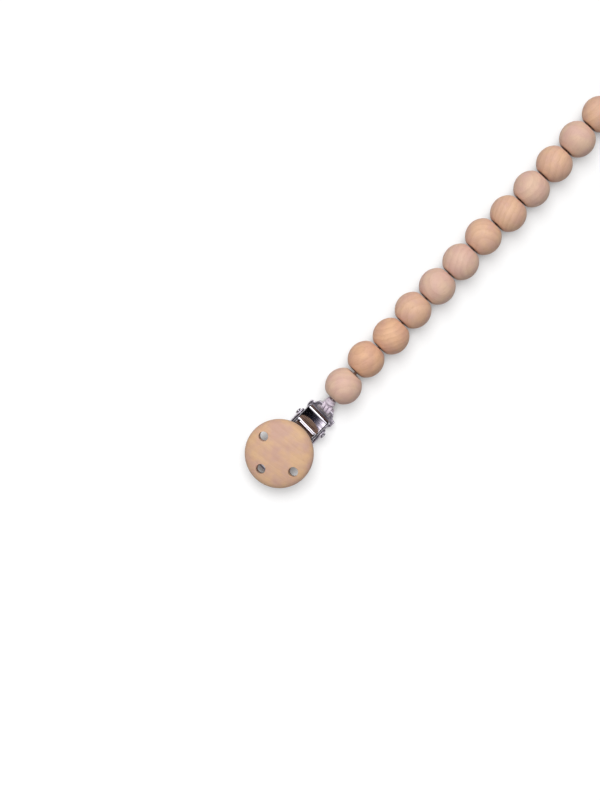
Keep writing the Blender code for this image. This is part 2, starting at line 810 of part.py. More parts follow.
def cord(k):
    """The stretch of cord through bead k, in a frame at the gap before it."""
    along = gap_point(k + 1) - gap_point(k)
    end = along.normalized() * (CORD_GAP / 2)
    return tube_mesh([end, along - end], CORD_DIAMETER)


# The whole chain

def build_clip(root):
    clip = add_frame("clip", root, Matrix.Rotation(CLIP_YAW, 4, "Z"))
    at_pin = shifted(x=PIN_X, z=PIN_Z)
    lever = add_frame("lever", clip, at_pin)
    add_piece("base_plate", base_plate(), "plated_steel", clip)
    add_piece("jaw_insert", jaw_insert(), "jaw_plastic", clip)
    add_piece("hinge_pin", hinge_pin(), "plated_steel", clip, at_pin)
    add_piece("torsion_spring", torsion_spring(), "spring_steel", clip, at_pin)
    add_piece("lever_plate", lever_plate(), "plated_steel", lever, at_pin.inverted())
    on_lever = at_pin.inverted() @ disc_frame()
    add_piece("wood_disc", wood_disc(), "disc_wood", lever, on_lever)
    add_piece("disc_rivet", disc_rivet(), "plated_steel", lever, on_lever)
    return clip


def build_tie(root, clip):
    at_bar = clip.matrix_local @ Matrix.Translation(bar_centre())
    tie = add_frame("tie", root, at_bar)
    add_piece("bar_wrap", bar_wrap(), "cord_cotton", tie)
    away = at_bar.inverted() @ gap_point(1)
    add_piece("neck_knot", neck_knot(away), "cord_cotton", tie, aimed(Vector(), away))


def build_beads(root):
    for k in range(1, BEAD_COUNT + 1):
        link = add_frame(f"link_{k:02d}", root, Matrix.Translation(gap_point(k)))
        add_piece(f"cord_{k:02d}", cord(k), "cord_cotton", link)
        at_bead = link.matrix_local.inverted() @ bead_frame(k)
        add_piece(f"bead_{k:02d}", bead(), "bead_wood", link, at_bead)
    after = gap_point(BEAD_COUNT + 1)
    knot_at = shifted(*(after - link.matrix_local.translation))
    level = Matrix.Rotation(math.radians(90.0), 4, "Y")
    add_piece("end_knot", end_knot(), "cord_cotton", link, knot_at @ level)
    loop_start = after + Vector((end_knot_length() + CORD_GAP, 0.0, -after.z))
    loop_at = Matrix.Translation(loop_start - link.matrix_local.translation)
    points = smooth_route(LOOP_ROUTE, LOOP_STEP)
    add_piece("end_loop", tube_mesh(points, LOOP_CORD), "cord_cotton", link, loop_at)


def centre_on_origin(root):
    """Moves the chain so that the middle of its box, without the free cord, stands on the origin."""
    bpy.context.view_layer.update()
    spots = [
        piece.matrix_world @ spot.co
        for piece in bpy.data.collections[PARTS].objects
        if piece.type == "MESH" and piece.name not in FREE_CORD
        for spot in piece.data.vertices
    ]
    low = Vector([min(spot[axis] for spot in spots) for axis in range(3)])
    high = Vector([max(spot[axis] for spot in spots) for axis in range(3)])
    middle = (low + high) / 2
    root.matrix_local = shifted(-middle.x, -middle.y, -low.z)


def main():
    clear_scene()
    root = add_frame("chain")
    clip = build_clip(root)
    build_tie(root, clip)
    build_beads(root)
    centre_on_origin(root)
    bpy.context.view_layer.update()


if __name__ == "__main__":
    main()
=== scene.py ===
"""Dresses the wooden pacifier chain: turned disc and beads, plated clip and waxed cord on a pale table."""

import json
import logging
import math
import random
from collections.abc import Callable, Sequence
from dataclasses import dataclass
from enum import Enum

import bmesh
import bpy
import numpy as np
from mathutils import Matrix, Vector


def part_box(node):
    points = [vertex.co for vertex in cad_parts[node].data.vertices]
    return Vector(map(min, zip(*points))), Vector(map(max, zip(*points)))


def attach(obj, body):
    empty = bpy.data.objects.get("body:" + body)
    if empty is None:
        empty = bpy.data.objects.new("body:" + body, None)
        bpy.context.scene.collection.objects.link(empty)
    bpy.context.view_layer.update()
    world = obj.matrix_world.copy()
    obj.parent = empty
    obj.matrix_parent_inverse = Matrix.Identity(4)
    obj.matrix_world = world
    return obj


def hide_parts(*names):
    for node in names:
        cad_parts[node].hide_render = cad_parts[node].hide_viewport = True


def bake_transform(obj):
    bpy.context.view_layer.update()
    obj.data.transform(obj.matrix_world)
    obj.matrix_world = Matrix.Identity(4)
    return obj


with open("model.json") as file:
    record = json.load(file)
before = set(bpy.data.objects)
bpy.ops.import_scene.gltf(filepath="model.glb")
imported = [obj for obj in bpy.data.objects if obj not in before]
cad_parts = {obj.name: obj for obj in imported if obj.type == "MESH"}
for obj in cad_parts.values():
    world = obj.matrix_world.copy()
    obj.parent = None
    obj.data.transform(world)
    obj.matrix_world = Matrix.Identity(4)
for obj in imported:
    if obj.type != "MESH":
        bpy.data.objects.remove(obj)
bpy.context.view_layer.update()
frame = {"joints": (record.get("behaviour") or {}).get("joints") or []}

log = logging.getLogger("pacifier_chain")

MM = 0.001
RIGHT = math.radians(90.0)
ROUND = 4 * RIGHT
STILL = Matrix.Identity(4)
X_AXIS, Y_AXIS, Z_AXIS = (Vector(row) for row in Matrix.Identity(3))
# A Wave texture at scale 1 repeats after this length
WAVE_PERIOD = 2 * math.pi / 20
# Sockets of a colour Mix node
MIX_FACTOR, MIX_A, MIX_B, MIX_RESULT = 0, 6, 7, 2
# Points closer than this are one
WELD = 0.001 * MM
# The step that slopes are measured over
NUDGE = 0.01 * MM
# Chords between two points of a smooth route, and how close a straight stretch of cord is cut
ROUTE_FINENESS = 24
CORD_STEP = 0.2 * MM
# Cord of three strands, one twist of it, and how far the strands stand out of its radius
STRANDS = 3
CORD_LAY = 3.2 * MM
LAY_ROOT, LAY_RISE = 0.90, 0.11
# Rings of a cord's rounded end, and the share of one that is left open for its flat middle
CAP_RINGS, CAP_OPEN = 3, 0.6
# The share of a side that a corner's arc may take up
ARC_REACH = 0.48

Point = tuple[float, float]
Corner = tuple[float, float, float]
Socket = bpy.types.NodeSocket
Mesh = bpy.types.Mesh
Material = bpy.types.Material
Inputs = dict[str | int, object] | Sequence[object]


class Slot(Enum):
    """The record's material slots."""

    DISC = "disc_wood"
    BEAD = "bead_wood"
    PLATED = "plated_steel"
    SPRING = "spring_steel"
    PLASTIC = "jaw_plastic"
    CORD = "cord_cotton"


class WoodTone(Enum):
    """Tones of bare beech from piece to piece: the yellower wood, the pinker wood and the late rings."""

    HONEY = ("#E6B894", "#DAAA91", "#C08C6E")
    WARM = ("#E5BC9C", "#DBB09C", "#C49476")
    ROSY = ("#E3C1A8", "#DCB5A6", "#C49982")
    DISC = ("#DAB38D", "#CCA492", "#B98C6E")


class Fold(Enum):
    """Which way a sheet's sides are folded."""

    UP = 1
    DOWN = -1


# Places read from the frame

JOINTS = {joint["name"]: joint for joint in frame["joints"]}


def joint_point(name: str) -> Vector:
    """Where a joint's axis passes, in metres."""
    return Vector(JOINTS[name]["pos_m"])


def joint_axis(name: str) -> Vector:
    """The direction of a joint's axis, of length one."""
    return Vector(JOINTS[name]["axis"]).normalized()


def aimed(place: Vector, direction: Vector) -> Matrix:
    """A frame at a place, whose +Z points in a direction."""
    return Matrix.Translation(place) @ direction.to_track_quat("Z", "Y").to_matrix().to_4x4()


def end_knot_span() -> tuple[Vector, float]:
    """Where the knot behind the last bead starts, and how long it is."""
    low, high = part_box("end_knot")
    return Vector((low.x, (low.y + high.y) / 2, (low.z + high.z) / 2)), high.x - low.x


def bearing(azimuth: float, elevation: float) -> Vector:
    """The direction at an azimuth and an elevation, in radians."""
    level = math.cos(elevation)
    return Vector((level * math.cos(azimuth), level * math.sin(azimuth), math.sin(elevation)))


def clamped(value: float) -> float:
    """The value, held between zero and one."""
    return min(1.0, max(0.0, value))


def eased(value: float) -> float:
    """A soft step from zero to one, while the value goes from zero to one."""
    share = clamped(value)
    return share * share * (3 - 2 * share)


# Nodes and colours


def linear(colour: str) -> tuple[float, float, float, float]:
    """Turns a colour as it is written for a screen into linear light.

    Args:
        colour: An sRGB colour, such as "#E0C0A0".

    Returns:
        Red, green, blue and an alpha of one.
    """
    parts = (int(colour[k:k + 2], 16) / 255 for k in (1, 3, 5))
    red, green, blue = (p / 12.92 if p <= 0.04045 else ((p + 0.055) / 1.055) ** 2.4 for p in parts)
    return red, green, blue, 1.0


class Nodes:
    """The node tree of a material or a world, and the patterns that several of them share."""

    def __init__(self, owner: Material | bpy.types.World) -> None:
        """Empties the owner's node tree.

        Args:
            owner: The material or the world.
        """
        owner.use_nodes = True
        self.owner = owner
        self.tree = owner.node_tree
        self.tree.nodes.clear()

    def fill(self, node: bpy.types.Node, inputs: Inputs) -> None:
        """Sets a node's inputs to values, or links them to output sockets.

        Args:
            node: The node.
            inputs: Values or output sockets, in the order of its inputs, or by their names or numbers.
        """
        pairs = inputs.items() if isinstance(inputs, dict) else enumerate(inputs)
        for name, value in pairs:
            if isinstance(value, Socket):
                self.tree.links.new(value, node.inputs[name])
            else:
                node.inputs[name].default_value = value

    def add(self, kind: str, inputs: Inputs = (), **settings: object) -> bpy.types.Node:
        """Adds a shader node with its settings, values and links.

        Args:
            kind: The node's type name after "ShaderNode".
            inputs: Values or output sockets, in the order of its inputs, or by their names or numbers.
            **settings: Properties of the node itself.

        Returns:
            The new node.
        """
        node = self.tree.nodes.new("ShaderNode" + kind)
        for name, value in settings.items():
            setattr(node, name, value)
        self.fill(node, inputs)
        return node

    def mixed(self, pattern: Socket, span: Point, most: float, first: object, second: object) -> Socket:
        """Mixes a second colour into a first one by a pattern.

        Args:
            pattern: The pattern.
            span: Its value where mixing starts and where it is full.
            most: How much of the second colour that is.
            first: Colour or socket without the pattern.
            second: Colour or socket that is mixed in.

        Returns:
            The mixed colour.
        """
        share = self.add("MapRange", [pattern, *span, 0.0, most]).outputs[0]
        inputs = {MIX_FACTOR: share, MIX_A: first, MIX_B: second}
        return self.add("Mix", inputs, data_type="RGBA").outputs[MIX_RESULT]

    def seen_rays(self) -> Socket:
        """Tells the rays that look from the rays that light.

        Returns:
            One for camera, mirror and glass rays, and zero for the rest.
        """
        path = self.add("LightPath").outputs
        seen = path["Is Camera Ray"]
        for kind in ("Is Glossy Ray", "Is Transmission Ray"):
            seen = self.add("Math", [seen, path[kind]], operation="MAXIMUM").outputs[0]
        return seen


class Surface(Nodes):
    """A material with one Principled shader, laid out in the piece's own coordinates."""

    def __init__(self, name: str) -> None:
        """Starts the material.

        Args:
            name: Its name.
        """
        super().__init__(bpy.data.materials.new(name))
        self.shader = self.add("BsdfPrincipled")
        self.place = self.add("TexCoord").outputs["Object"]

    def streaks(self, place: Socket, size: Corner, detail: float, rough: float = 0.5) -> Socket:
        """Adds noise that is drawn out.

        Args:
            place: Its coordinates.
            size: Its length along each axis, in metres.
            detail: How many finer layers it has.
            rough: How strong the finer layers are.

        Returns:
            The noise, from 0 to 1.
        """
        scale = tuple(1 / length for length in size)
        drawn = self.add("Mapping", {"Vector": place, "Scale": scale}).outputs[0]
        inputs = {"Vector": drawn, "Scale": 1.0, "Detail": detail, "Roughness": rough}
        return self.add("TexNoise", inputs).outputs[0]

    def finish(self, height: Socket, strength: float, depth: float, looks: dict[str, object]) -> Material:
        """Fills the shader in.

        Args:
            height: The pattern of the surface's relief.
            strength: How much of the relief shows.
            depth: How deep the relief is, in metres.
            looks: The shader's other inputs.

        Returns:
            The material.
        """
        bump = self.add("Bump", {"Height": height, "Strength": strength, "Distance": depth})
        self.fill(self.shader, {"Normal": bump.outputs[0], **looks})
        self.add("OutputMaterial", {"Surface": self.shader.outputs[0]})
        return self.owner


# Finishes


@dataclass(frozen=True)
class SandedWood:
    """Turned maple or beech, sanded and left bare: matt, with faint rings and short fibre lines."""

    tone: WoodTone
    ring_width: float = 2.6 * MM
    ring_strength: float = 0.24
    ring_wander: float = 7.0
    ring_wander_scale: float = 0.35
    late_span: Point = (0.35, 1.0)
    # Real fibres are near 0.05 mm wide and drawn coarser, so that they show
    fibre_width: float = 0.36 * MM
    fibre_length: float = 5.0 * MM
    fibre_strength: float = 0.5
    fibre_span: Point = (0.5, 0.8)
    streak_roughness: float = 0.6
    fleck_width: float = 0.5 * MM
    fleck_length: float = 1.6 * MM
    fleck_span: Point = (0.60, 0.75)
    fleck_share: float = 0.35
    cloud_width: float = 5.5 * MM
    cloud_span: Point = (0.35, 0.65)
    # No gloss beyond a dull sheen at low angles, and duller where the fibres stand up
    dull_span: Point = (0.3, 0.8)
    roughness: Point = (0.56, 0.70)
    relief: float = 0.02 * MM
    relief_strength: float = 0.6
    trunk_radius: float = 34.0 * MM
    trunk_spread: Point = (0.7, 1.3)
    # How far from the middle of the bore the dark ends start, or zero where there are none: partly the end
    # grain's own darker colour, partly painted shade in the gaps between beads
    dark_end_from: float = 0.0
    dark_end_fade: float = 0.07 * MM
    dark_end_strength: float = 0.9
    end_grain_and_gap_shade: str = "#74402A"

    def material(self, name: str, seed: int, grain: Corner) -> Material:
        """Builds the wood of one piece.

        Args:
            name: The material's name.
            seed: Picks the place in the trunk that the piece was cut from.
            grain: How the trunk's axis is turned from the piece's Z, in radians.

        Returns:
            The material.
        """
        wood = Surface(name)
        draw = random.Random(seed)
        turn = draw.uniform(0.0, ROUND)
        away = self.trunk_radius * draw.uniform(*self.trunk_spread)
        shift = (away * math.cos(turn), away * math.sin(turn), draw.uniform(-1.0, 1.0))
        trunk = wood.add("Mapping", {"Vector": wood.place, "Location": shift, "Rotation": grain}).outputs[0]
        blots = {"Vector": trunk, "Scale": 1 / self.cloud_width, "Detail": 2.0}
        cloud = wood.add("TexNoise", blots).outputs[0]
        waves = {"Vector": trunk, "Scale": WAVE_PERIOD / self.ring_width, "Distortion": self.ring_wander}
        waves |= {"Detail": 2.0, "Detail Scale": self.ring_wander_scale}
        shape = {"wave_type": "RINGS", "rings_direction": "Z", "wave_profile": "SAW"}
        rings = wood.add("TexWave", waves, **shape).outputs["Fac"]
        late = wood.add("MapRange", [rings, *self.late_span]).outputs[0]
        sizes = ((self.fibre_width, self.fibre_length), (self.fleck_width, self.fleck_length))
        fibres, flecks = (wood.streaks(trunk, (w, w, long), 3.0, self.streak_roughness) for w, long in sizes)
        yellow, pink, dark = (linear(colour) for colour in self.tone.value)
        colour = wood.mixed(cloud, self.cloud_span, 1.0, yellow, pink)
        colour = wood.mixed(late, (0.0, 1.0), self.ring_strength, colour, dark)
        colour = wood.mixed(fibres, self.fibre_span, self.fibre_strength, colour, dark)
        colour = wood.mixed(flecks, self.fleck_span, self.fleck_share * self.fibre_strength, colour, yellow)
        # Dark ends round the bore: end grain, and painted shade where the beads meet
        if self.dark_end_from:
            along = wood.add("SeparateXYZ", [wood.place]).outputs["Z"]
            off = wood.add("Math", [along], operation="ABSOLUTE").outputs[0]
            ends = (self.dark_end_from, self.dark_end_from + self.dark_end_fade)
            colour = wood.mixed(off, ends, self.dark_end_strength, colour, linear(self.end_grain_and_gap_shade))
        looks = {
            "Base Color": colour,
            "Roughness": wood.add("MapRange", [fibres, *self.dull_span, *self.roughness]).outputs[0],
            "IOR": 1.45,
            "Sheen Weight": 0.12,
            "Sheen Roughness": 0.4,
            "Subsurface Weight": 0.06,
            "Subsurface Radius": (1.0, 0.45, 0.25),
            "Subsurface Scale": 0.6 * MM,
        }
        height = wood.add("Math", [fibres, late], operation="ADD").outputs[0]
        return wood.finish(height, self.relief_strength, self.relief, looks)


@dataclass(frozen=True)
class NickelPlate:
    """Bright nickel plate on drawn steel strip: a mirror with hair-fine draw lines and soft smudges."""

    tone: str
    roughness: float
    # What the draw lines hold, and how much of it
    film: str = "#5A565E"
    film_share: float = 0.4
    film_span: Point = (0.46, 0.58)
    # Draw lines are near 0.02 mm apart and drawn coarser, so that they show
    line_width: float = 0.4 * MM
    line_length: float = 12.0 * MM
    relief: float = 0.004 * MM
    relief_strength: float = 1.0
    smudge_width: float = 5.0 * MM
    smudge_span: Point = (0.35, 0.75)
    smudge_dulls: float = 1.8

    def material(self, name: str) -> Material:
        """Builds the plated metal, with draw lines across its X, which fold up with the sheet.

        Args:
            name: The material's name.

        Returns:
            The material.
        """
        plate = Surface(name)
        lines = plate.streaks(plate.place, (self.line_width, self.line_length, self.line_length), 2.0)
        blots = {"Vector": plate.place, "Scale": 1 / self.smudge_width, "Detail": 3.0}
        smudges = plate.add("TexNoise", blots).outputs[0]
        dulled = (self.roughness, self.smudge_dulls * self.roughness)
        bare, held = linear(self.tone), linear(self.film)
        looks = {
            "Base Color": plate.mixed(lines, self.film_span, self.film_share, bare, held),
            "Metallic": 1.0,
            "Roughness": plate.add("MapRange", [smudges, *self.smudge_span, *dulled]).outputs[0],
        }
        return plate.finish(lines, self.relief_strength, self.relief, looks)


@dataclass(frozen=True)
class MouldedPlastic:
    """Injection-moulded nylon with a fine spark-eroded surface: matt and slightly milky."""

    tone: str
    grain: float = 0.12 * MM
    relief: float = 0.006 * MM
    relief_strength: float = 0.5
    roughness: Point = (0.38, 0.5)

    def material(self, name: str) -> Material:
        """Builds the plastic.

        Args:
            name: The material's name.

        Returns:
            The material.
        """
        nylon = Surface(name)
        blots = {"Vector": nylon.place, "Scale": 1 / self.grain, "Detail": 2.0}
        pits = nylon.add("TexNoise", blots).outputs[0]
        looks = {
            "Base Color": linear(self.tone),
            "Roughness": nylon.add("MapRange", [pits, 0.0, 1.0, *self.roughness]).outputs[0],
            "IOR": 1.53,
            "Subsurface Weight": 0.2,
            "Subsurface Scale": 0.5 * MM,
        }
        return nylon.finish(pits, self.relief_strength, self.relief, looks)


@dataclass(frozen=True)
class WaxedCotton:
    """Waxed cotton cord, bleached with a lilac cast: soft, with fine yarn and a faint waxy shine."""

    pale: str
    shade: str
    # Yarn fibres are near 0.02 mm wide and drawn coarser, so that they show
    fibre: float = 0.11 * MM
    relief: float = 0.03 * MM
    relief_strength: float = 0.7
    cloud: float = 1.6 * MM
    span: Point = (0.7, 1.3)
    roughness: Point = (0.42, 0.66)

    def material(self, name: str) -> Material:
        """Builds the cord's surface.

        Args:
            name: The material's name.

        Returns:
            The material.
        """
        cord = Surface(name)
        yarn, cloud = (
            cord.add("TexNoise", {"Vector": cord.place, "Scale": 1 / width, "Detail": detail}).outputs[0]
            for width, detail in ((self.fibre, 4.0), (self.cloud, 2.0))
        )
        both = cord.add("Math", [yarn, cloud], operation="ADD").outputs[0]
        looks = {
            "Base Color": cord.mixed(both, self.span, 1.0, linear(self.shade), linear(self.pale)),
            "Roughness": cord.add("MapRange", [yarn, 0.0, 1.0, *self.roughness]).outputs[0],
            "IOR": 1.46,
            "Sheen Weight": 0.35,
            "Sheen Roughness": 0.5,
            "Subsurface Weight": 0.15,
            "Subsurface Radius": (1.0, 0.9, 1.0),
            "Subsurface Scale": 0.4 * MM,
        }
        return cord.finish(yarn, self.relief_strength, self.relief, looks)


# Outlines and meshes


def round_hole(x: float, y: float, radius: float, sides: int) -> list[Point]:
    """The outline of a round hole, wound against the outer outline."""
    turns = (ROUND * k / sides for k in reversed(range(sides)))
    return [(x + radius * math.cos(a), y + radius * math.sin(a)) for a in turns]


def softened(corners: Sequence[Corner], closed: bool = False, steps: int = 6) -> list[Point]:
    """Rounds the corners of an outline with arcs.

    Args:
        corners: Each corner's place and the radius that it is rounded to.
        closed: Whether the last corner joins the first.
        steps: How many chords each arc has.

    Returns:
        The rounded outline's points.
    """
    count = len(corners)
    found: list[Point] = []
    for index, (x, y, radius) in enumerate(corners):
        if radius <= 0 or (not closed and index in (0, count - 1)):
            found.append((x, y))
            continue
        here = Vector((x, y))
        before = Vector(corners[index - 1][:2]) - here
        after = Vector(corners[(index + 1) % count][:2]) - here
        half = before.angle(after) / 2
        reach = min(radius / math.tan(half), ARC_REACH * before.length, ARC_REACH * after.length)
        inner = reach * math.tan(half)
        middle = here + (before.normalized() + after.normalized()).normalized() * (inner / math.sin(half))
        start = here + before.normalized() * reach - middle
        end = here + after.normalized() * reach - middle
        for k in range(steps + 1):
            found.append(tuple(middle + start.slerp(end, k / steps).normalized() * inner))
    return found


def mirrored(half: Sequence[Point]) -> list[Point]:
    """A closed outer outline from its half on the +Y side."""
    return [*((x, -y) for x, y in half), *reversed(half)]


def finished(shape: bmesh.types.BMesh, closed: bool = True) -> Mesh:
    """Turns a bmesh into a smooth-shaded mesh and frees it.

    Args:
        shape: The bmesh.
        closed: Whether it has an outside, which its normals then point to.

    Returns:
        The mesh.
    """
    if closed:
        bmesh.ops.recalc_face_normals(shape, faces=shape.faces)
    mesh = bpy.data.meshes.new("shape")
    shape.to_mesh(mesh)
    shape.free()
    mesh.shade_smooth()
    return mesh


def placed(name: str, data: bpy.types.ID) -> bpy.types.Object:
    """Puts a new object in the scene.

    Args:
        name: Its name.
        data: Its mesh, curve, light or camera.

    Returns:
        The object.
    """
    thing = bpy.data.objects.new(name, data)
    bpy.context.scene.collection.objects.link(thing)
    return thing


def evaluated(thing: bpy.types.Object) -> Mesh:
    """Makes a mesh of an object as its modifiers or its curve's bevel shape it.

    Args:
        thing: The object.

    Returns:
        The mesh.
    """
    bpy.context.view_layer.update()
    graph = bpy.context.evaluated_depsgraph_get()
    return bpy.data.meshes.new_from_object(thing.evaluated_get(graph))


def lathe(profile: Sequence[Point], steps: int) -> Mesh:
    """Turns a profile about Z.

    Args:
        profile: Points of (radius, height), which run down the outer side.
        steps: How many faces there are round it.

    Returns:
        A closed mesh where the profile starts and ends on the axis or joins itself.
    """
    shape = bmesh.new()
    spots = [shape.verts.new((radius, 0.0, height)) for radius, height in profile]
    for first, second in zip(spots, spots[1:]):
        shape.edges.new((first, second))
    if profile[0][0] > 0:
        shape.edges.new((spots[-1], spots[0]))
    everything = [*shape.verts, *shape.edges]
    bmesh.ops.spin(
        shape, geom=everything, axis=Z_AXIS, cent=Vector(), angle=ROUND, steps=steps, use_merge=True
    )
    bmesh.ops.remove_doubles(shape, verts=shape.verts, dist=WELD)
    return finished(shape)


def rod(radius: float, low: float, high: float, steps: int) -> Mesh:
    """A plain cylinder about Z."""
    return lathe([(0.0, high), (radius, high), (radius, low), (0.0, low)], steps)


def skinned(rings: Sequence[Sequence[Vector]]) -> Mesh:
    """Skins rings of points, with a flat face at each end.

    Args:
        rings: The rings, of as many points each.

    Returns:
        A closed mesh.
    """
    shape = bmesh.new()
    spots = [[shape.verts.new(point) for point in ring] for ring in rings]
    for first, second in zip(spots, spots[1:]):
        for k in range(len(first)):
            n = (k + 1) % len(first)
            shape.faces.new((first[k], first[n], second[n], second[k]))
    shape.faces.new(list(reversed(spots[0])))
    shape.faces.new(spots[-1])
    return finished(shape)


def together(*meshes: Mesh) -> Mesh:
    """Puts several closed meshes into the first one.

    Args:
        *meshes: The meshes.

    Returns:
        The first one.
    """
    shape = bmesh.new()
    for mesh in meshes:
        shape.from_mesh(mesh)
    shape.to_mesh(meshes[0])
    shape.free()
    return meshes[0]


def joined_solid(first: Mesh, second: Mesh, operation: str) -> Mesh:
    """Unites two meshes, or cuts the second from the first.

    Args:
        first: The mesh that is kept.
        second: The mesh that is added or cut away.
        operation: UNION or DIFFERENCE.

    Returns:
        The new mesh.
    """
    things = [placed("solid", mesh) for mesh in (first, second)]
    step = things[0].modifiers.new("join", "BOOLEAN")
    step.operation = operation
    step.solver = "MANIFOLD"
    step.object = things[1]
    mesh = evaluated(things[0])
    for thing in things:
        bpy.data.objects.remove(thing, do_unlink=True)
    mesh.shade_smooth()
    return mesh


def smooth_route(route: Sequence[Vector], step: float = CORD_STEP) -> list[Vector]:
    """Evenly spaced points on a Catmull-Rom curve.

    Args:
        route: The curve's own points.
        step: About how far apart the new points are, in metres.

    Returns:
        The new points.
    """
    spots = [2 * route[0] - route[1], *route, 2 * route[-1] - route[-2]]
    fine: list[Vector] = []
    for a, b, c, d in zip(spots, spots[1:], spots[2:], spots[3:]):
        for k in range(ROUTE_FINENESS):
            t = k / ROUTE_FINENESS
            bow = (2 * a - 5 * b + 4 * c - d) * (t * t / 2) + (3 * b - a - 3 * c + d) * (t**3 / 2)
            fine.append(b + (c - a) * (t / 2) + bow)
    fine.append(spots[-2])
    gone = np.cumsum([0.0, *((q - p).length for p, q in zip(fine, fine[1:]))])
    count = max(2, round(gone[-1] / step))
    even = np.linspace(0.0, gone[-1], count + 1)
    table = np.array(fine)
    return [Vector(spot) for spot in zip(*(np.interp(even, gone, table[:, axis]) for axis in range(3)))]


def upright(low: float, high: float) -> list[Vector]:
    """Points straight up Z, close enough together for a laid cord."""
    return smooth_route([Z_AXIS * low, Z_AXIS * high])


def winding(radius: float, pitch: float, turns: float, a_turn: int) -> list[Vector]:
    """Points along turns about Y, clockwise as seen from -Y, centred on the origin, from the bottom on.

    Args:
        radius: The turns' radius at the middle of the wire.
        pitch: How far one turn moves along Y.
        turns: How many turns there are.
        a_turn: How many points a turn has.

    Returns:
        The points.
    """
    found = []
    for k in range(round(turns * a_turn) + 1):
        share = k / a_turn
        a = -RIGHT - ROUND * share
        found.append(Vector((radius * math.cos(a), (share - turns / 2) * pitch, radius * math.sin(a))))
    return found


def cord_mesh(points: Sequence[Vector], diameter: float, lay: float = CORD_LAY, sides: int = 24) -> Mesh:
    """A cord or wire along points, with rounded ends.

    Args:
        points: The line that it follows.
        diameter: Its diameter, in metres.
        lay: The length of one twist of its strands, or zero for a plain wire.
        sides: How many faces there are round it.

    Returns:
        A closed mesh.
    """
    radius = diameter / 2
    way = (points[1] - points[0]).normalized()
    side = way.orthogonal().normalized()
    gone = 0.0
    # Each station's place, way, side, length so far and share of the radius
    stations: list[tuple[Vector, Vector, Vector, float, float]] = []
    for index, point in enumerate(points):
        ahead = (points[min(index + 1, len(points) - 1)] - points[max(index - 1, 0)]).normalized()
        side = (way.rotation_difference(ahead) @ side).normalized()
        way = ahead
        gone += (point - points[max(index - 1, 0)]).length
        stations.append((point, way, side, gone, 1.0))
    for end, sign in ((0, -1), (-1, 1)):
        point, forward, across, length, _ = stations[end]
        cap = []
        for k in range(1, CAP_RINGS + 1):
            a = RIGHT * k / (CAP_RINGS + CAP_OPEN)
            spot = point + forward * (sign * radius * math.sin(a))
            cap.append((spot, forward, across, length, math.cos(a)))
        stations = [*reversed(cap), *stations] if sign < 0 else [*stations, *cap]
    rings = []
    for point, forward, across, length, share in stations:
        other = forward.cross(across)
        ring = []
        for k in range(sides):
            a = ROUND * k / sides
            bulge = 1.0
            if lay:
                bulge = LAY_ROOT + LAY_RISE * abs(math.cos(STRANDS / 2 * (a - ROUND * length / lay)))
            ring.append(point + (across * math.cos(a) + other * math.sin(a)) * (radius * bulge * share))
        rings.append(ring)
    return skinned(rings)


def add_piece(
    name: str, mesh: Mesh, material: Material, body: str, stands_for: str, matrix: Matrix = STILL
) -> bpy.types.Object:
    """Puts a finished piece in the scene, on its body.

    Args:
        name: The piece's name.
        mesh: Its mesh, in its own frame.
        material: Its material.
        body: The body that it rides on.
        stands_for: The CAD node that it replaces.
        matrix: Its frame.

    Returns:
        The piece.
    """
    piece = placed(name, mesh)
    mesh.name = name
    mesh.materials.clear()
    mesh.materials.append(material)
    piece.matrix_world = matrix
    bpy.context.view_layer.update()
    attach(piece, body)
    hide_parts(stands_for)
    log.info("%s: %d faces on %s", name, len(mesh.polygons), body)
    return piece


